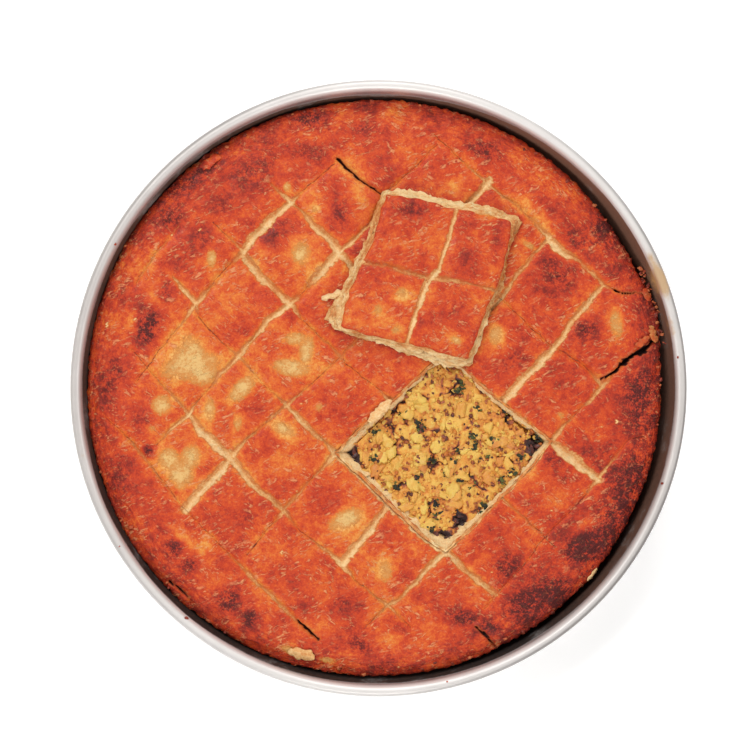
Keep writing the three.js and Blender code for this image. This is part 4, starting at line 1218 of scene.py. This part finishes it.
def round_corner(x, y, radius):
    """Rounds the corners of the square from -1 to 1."""
    over_x, over_y = (np.clip(np.abs(way) - 1 + radius, 0, None) for way in (x, y))
    far = np.hypot(over_x, over_y)
    pull = np.where((over_x > 0) & (over_y > 0), np.maximum(over_x, over_y) / np.maximum(far, 1e-9), 1)
    return [np.sign(way) * (np.abs(way) - over + over * pull) for way, over in ((x, over_x), (y, over_y))]


slab = begin(bpy.ops.mesh.primitive_grid_add, x_subdivisions=120, y_subdivisions=120, size=2 * MM)
x, y, _ = points_of(slab).T
u, v = round_corner(x, y, 0.05)
from_side = 1 - np.maximum(np.abs(u), np.abs(v))
x, y = on_block(outline_between(1), u, v)
edge_x, edge_y = 0.5 * ripple(x, y, 9, 90), 0.5 * ripple(x, y, 9, 91)
x, y = x + edge_x * ease(0.15, 0, from_side), y + edge_y * ease(0.15, 0, from_side)
sink, cream, slit, halo, near = cut_marks(BLOCK_CUTS, x, y, 92)
z = pie_top(x, y) + 0.3 + BLOCK_THICK + 0.7 - sink + 0.14 * ripple(x, y, 12, 93) + 0.08 * ripple(x, y, 5, 94)
z -= 1.3 * np.exp(-from_side * 38 / 1.6)
set_points(slab, np.stack((x, y, z), axis=1))
open_edges(slab, lambda x, y: True)
block_middle = np.mean([side[0] for side in BLOCK_TOP], axis=0)


def under_slab(grow, drop):
    """Puts points of the slab's side in or out from its middle and lower down."""
    return lambda x, y, z: (*pushed(x, y, block_middle, grow), z - drop)


for grow, drop in ((0.25, 0.5), (0.3, 0.8), (0.2, 0.8), (-2, 0.2), (-30, 0)):
    extrude_to(under_slab(grow, drop))
close_up()
slab = finish_mesh("block_top")
x, y, z = points_of(slab).T
sink, cream, slit, halo, near = cut_marks(BLOCK_CUTS, x, y, 92)
side = ease(0, -0.6, z - (pie_top(x, y) + 0.3 + BLOCK_THICK - 1.2 - sink))
bake = 0.49 + 0.04 * ripple(x, y, 30, 95) - 0.08 * near
bake += spots(BLOCK_DARK, x, y) - 0.36 * spots(BLOCK_GOLD, x, y)
paint(slab, "bake", bake)
paint(slab, "pale", spots(BLOCK_PALE, x, y))
# As on the crust, the cuts' cream is painted darker on their upper walls, and their dark lines are painted
# shade.
paint(slab, "cream", np.maximum(cream, side))
paint(slab, "slit", slit * 0.8 * (1 - side))
from_edge = np.concatenate((from_side * 38, np.zeros(len(x) - len(from_side))))
paint(slab, "gloss", (1 - side) * (1 - 0.9 * near) * ease(0.5, 4, from_edge))
put_on(slab, pastry_material("block_pastry", 0.8), "lifted_block", "lifted_block")

for level, (share, low, seed) in enumerate(
    ((0.0, 0.55, 111), (0.05, 1.6, 112), (0.2, 2.7, 113), (0.4, 3.8, 114), (0.62, 4.9, 115), (0.8, 5.7, 116))
):
    sheet = begin(bpy.ops.mesh.primitive_grid_add, x_subdivisions=56, y_subdivisions=56, size=2 * MM)
    x, y, _ = points_of(sheet).T
    u, v = round_corner(x, y, 0.06)
    rim = ease(0.2, 0, 1 - np.maximum(np.abs(u), np.abs(v)))
    x, y = on_block(outline_between(share), u, v)
    ragged = 0.8 * ripple(x, y, 20, seed) + 0.7 * ripple(x, y, 6, seed + 10)
    ragged += 0.5 * ripple(x, y, 2.6, seed + 20)
    x, y = pushed(x, y, block_middle, ragged * rim)
    lift = low + 0.25 * rim * ripple(x, y, 11, seed + 30)
    set_points(sheet, np.stack((x, y, pie_top(x, y) + 0.3 + lift), axis=1))
    sheet = finish_mesh(f"block_sheet_{level + 1}")
    thicken(sheet, 0.8)
    x, y, _ = points_of(sheet).T
    cream = 0.52 + 0.54 * spots(BLOCK_SKIRT, x, y) + 0.16 * ripple(x, y, 8, seed + 5)
    paint_dough(sheet, 0.25 + 0.1 * ripple(x, y, 9, seed), cream)
    put_on(sheet, sheet_material, "lifted_block", "lifted_block")

# ---------------------------------------------------------------- loose flaps and crumbs
# Scraps of the thin dough that have come loose and stand up from the crust, the block and its edge, and
# crumbs of crust on the rim. Each flap is a small sheet, bent and torn, and thickened.
FLAPS = (
    ("hole_flap", (1, -13.5), (17, 6), 45, 1.6, 0.9, 0.3, "pastry_crust"),
    ("edge_scrap", (-45, -156), (15, 7), -18, 1.3, 0.8, 0.2, "pastry_crust"),
    ("rim_scrap", (-99, 133), (13, 6), 38, 0.8, 0.1, 0.5, "pastry_crust"),
    ("lower_scrap", (126, -110), (9, 1.7), 54, 1.0, 1.0, 0.3, "pastry_crust"),
    ("right_scrap_1", (158, 55), (7, 4), -60, 0.8, 0.35, 0.5, "pastry_crust"),
    ("right_scrap_2", (161.5, 32), (10, 4), -70, 0.9, 0.5, 0.45, "pastry_crust"),
    ("right_scrap_3", (155, 27.5), (9, 3.4), 38, 0.8, 0.4, 0.5, "pastry_crust"),
    ("block_shred", (-25, 54.5), (17, 3.6), 14, 2.6, 1.0, 0.2, "lifted_block"),
)
for label, middle, (length, width), turn, rise, cream_level, bake_level, slot_name in FLAPS:
    flap = begin(bpy.ops.mesh.primitive_grid_add, x_subdivisions=28, y_subdivisions=12, size=2 * MM)
    u, v, _ = points_of(flap).T
    narrow = 1 - 0.55 * np.abs(u) ** 2.5
    along = u * length / 2
    across = v * width / 2 * narrow + 0.25 * ripple(along, along * 0, 4, len(label))
    c, s = math.cos(math.radians(turn)), math.sin(math.radians(turn))
    x, y = middle[0] + along * c - across * s, middle[1] + along * s + across * c
    torn = min(0.2 * width, 0.6) * ease(0.35, 1, np.maximum(np.abs(u), np.abs(v)))
    step = max(2.2, 0.3 * length)
    x, y = x + torn * ripple(x, y, step, 133), y + torn * ripple(x, y, step, 134)
    z = pie_top(x, y) + 0.2 + rise * (0.35 + 0.65 * (1 - v**2)) * (1 - 0.5 * u**2)
    z += 0.2 * ripple(x, y, 4, 131)
    set_points(flap, np.stack((x, y, z), axis=1))
    flap = finish_mesh(label)
    thicken(flap, 0.6)
    x, y, _ = points_of(flap).T
    paint_dough(flap, bake_level + 0.1 * ripple(x, y, 6, 132), cream_level, 0.5)
    put_on(flap, sheet_material, slot_name)

# Crumbs of crust that have fallen on the rim, on the pie's edge and in the gap at the right.
draw = random.Random(150)
crust_shapes = [lump_shape(f"crust_bit_{k}", 2, 0.25, 151 + 3 * k) for k in range(3)]
fallen = []


def tumbled(draw):
    """Random turns about the three axes, up to 1 radian each."""
    return tuple(draw.uniform(-1, 1) for _ in range(3))


for x, y, size in (
    (-112, -134, 2.4), (-151, -92, 1.5), (174.5, 18, 1.6), (165.5, -55.5, 2), (-153.4, 83.9, 1.6),
    (40, -171, 1.4),
):
    height = 42 + math.sqrt(max(9 - (math.hypot(x, y) - 177) ** 2, 0)) + size * 0.12
    turns = tumbled(draw)
    sizes = (size * 0.8, size * 0.6, size * 0.5)
    fallen.append((x, y, min(height, 44.6), sizes, turns, draw.uniform(0.2, 0.6)))
for k in range(90):
    turn = math.radians(draw.uniform(0, 360))
    far = float(pie_radius(turn)) - draw.uniform(0.2, 4.5)
    x, y, size = far * math.cos(turn), far * math.sin(turn), draw.uniform(1, 2.6)
    turns = tumbled(draw)
    height = float(pie_top(x, y)) - 0.1
    fallen.append((x, y, height, (size, size * 0.7, size * 0.5), turns, draw.uniform(0.1, 0.8)))
for k in range(40):
    turn, far, size = math.radians(draw.uniform(8, 25)), draw.uniform(167.5, 171.3), draw.uniform(0.9, 2.5)
    turns = tumbled(draw)
    x, y = far * math.cos(turn), far * math.sin(turn)
    height = max(float(pie_top(x, y)), 31) + draw.uniform(-0.3, 0.5)
    sizes = (size * draw.uniform(0.8, 1.6), size * draw.uniform(0.4, 0.8), size * 0.5)
    fallen.append((x, y, height, sizes, turns, draw.uniform(0.1, 0.9)))
crust_crumbs = strew("fallen_crumbs", crust_shapes, fallen)
for shape in crust_shapes:
    bpy.data.objects.remove(shape)
crumb_of_crust = food_material(
    "crumb_of_crust",
    ((0.0, 84, 28, 20), (0.4, 150, 52, 30), (0.7, 188, 84, 42), (1.0, 206, 140, 84)),
    0.6, 0.1, 2,
)
put_on(crust_crumbs, crumb_of_crust, "pastry_crust")

# ---------------------------------------------------------------- the floor, the light and the camera
# A plain white light table under the tin, a window light from the upper left with soft boxes all round, and
# a camera straight above it.
bpy.ops.object.select_all(action="DESELECT")
bpy.ops.mesh.primitive_plane_add(size=6, location=(0, 0, -0.0005))
floor = bpy.context.object
floor.name = floor.data.name = "floor"
white, tree, shader, _ = new_material("white_table")
feed(tree, shader, {
    "Base Color": (0.96, 0.96, 0.96, 1), "Roughness": 0.9, "Emission Color": (1, 1, 1, 1),
    "Emission Strength": 0.2,
})
floor.data.materials.append(white)


def soft_light(name, place, size, power, colour):
    """A square lamp that faces the pie."""
    lamp = bpy.data.lights.new(name, "AREA")
    lamp.size, lamp.energy, lamp.color = size, power, colour
    holder = bpy.data.objects.new(name, lamp)
    bpy.context.collection.objects.link(holder)
    holder.location = place
    holder.rotation_euler = (Vector((0, 0, 0.03)) - Vector(place)).to_track_quat("-Z", "Y").to_euler()


soft_light("window", (-1.4, 1.4, 2.9), 0.7, 36, (1.0, 0.98, 0.96))
for side, place, power in (
    ("back", (0, 2.6, 1.9), 52), ("front", (0, -2.6, 1.9), 55), ("left", (-2.6, 0, 1.9), 26),
    ("right", (2.6, 0, 1.9), 31),
):
    soft_light(f"{side}_softbox", place, 1.5, power, (1.0, 0.99, 0.98))
world = bpy.data.worlds.new("pale_room")
bpy.context.scene.world = world
world.use_nodes = True
background = next(n for n in world.node_tree.nodes if n.type == "BACKGROUND")
background.inputs["Color"].default_value = (1.0, 0.99, 0.98, 1)
background.inputs["Strength"].default_value = 0.2

eye = bpy.data.cameras.new("camera")
eye.sensor_width = 36
eye.lens = 36 * 1.2 / 0.4369
camera = bpy.data.objects.new("camera", eye)
bpy.context.collection.objects.link(camera)
camera.location = (-2.0 * MM, 7.7 * MM, 1.245)
camera.rotation_euler = (0, 0, 0)
bpy.context.scene.camera = camera
bpy.context.scene.view_settings.view_transform = "Standard"
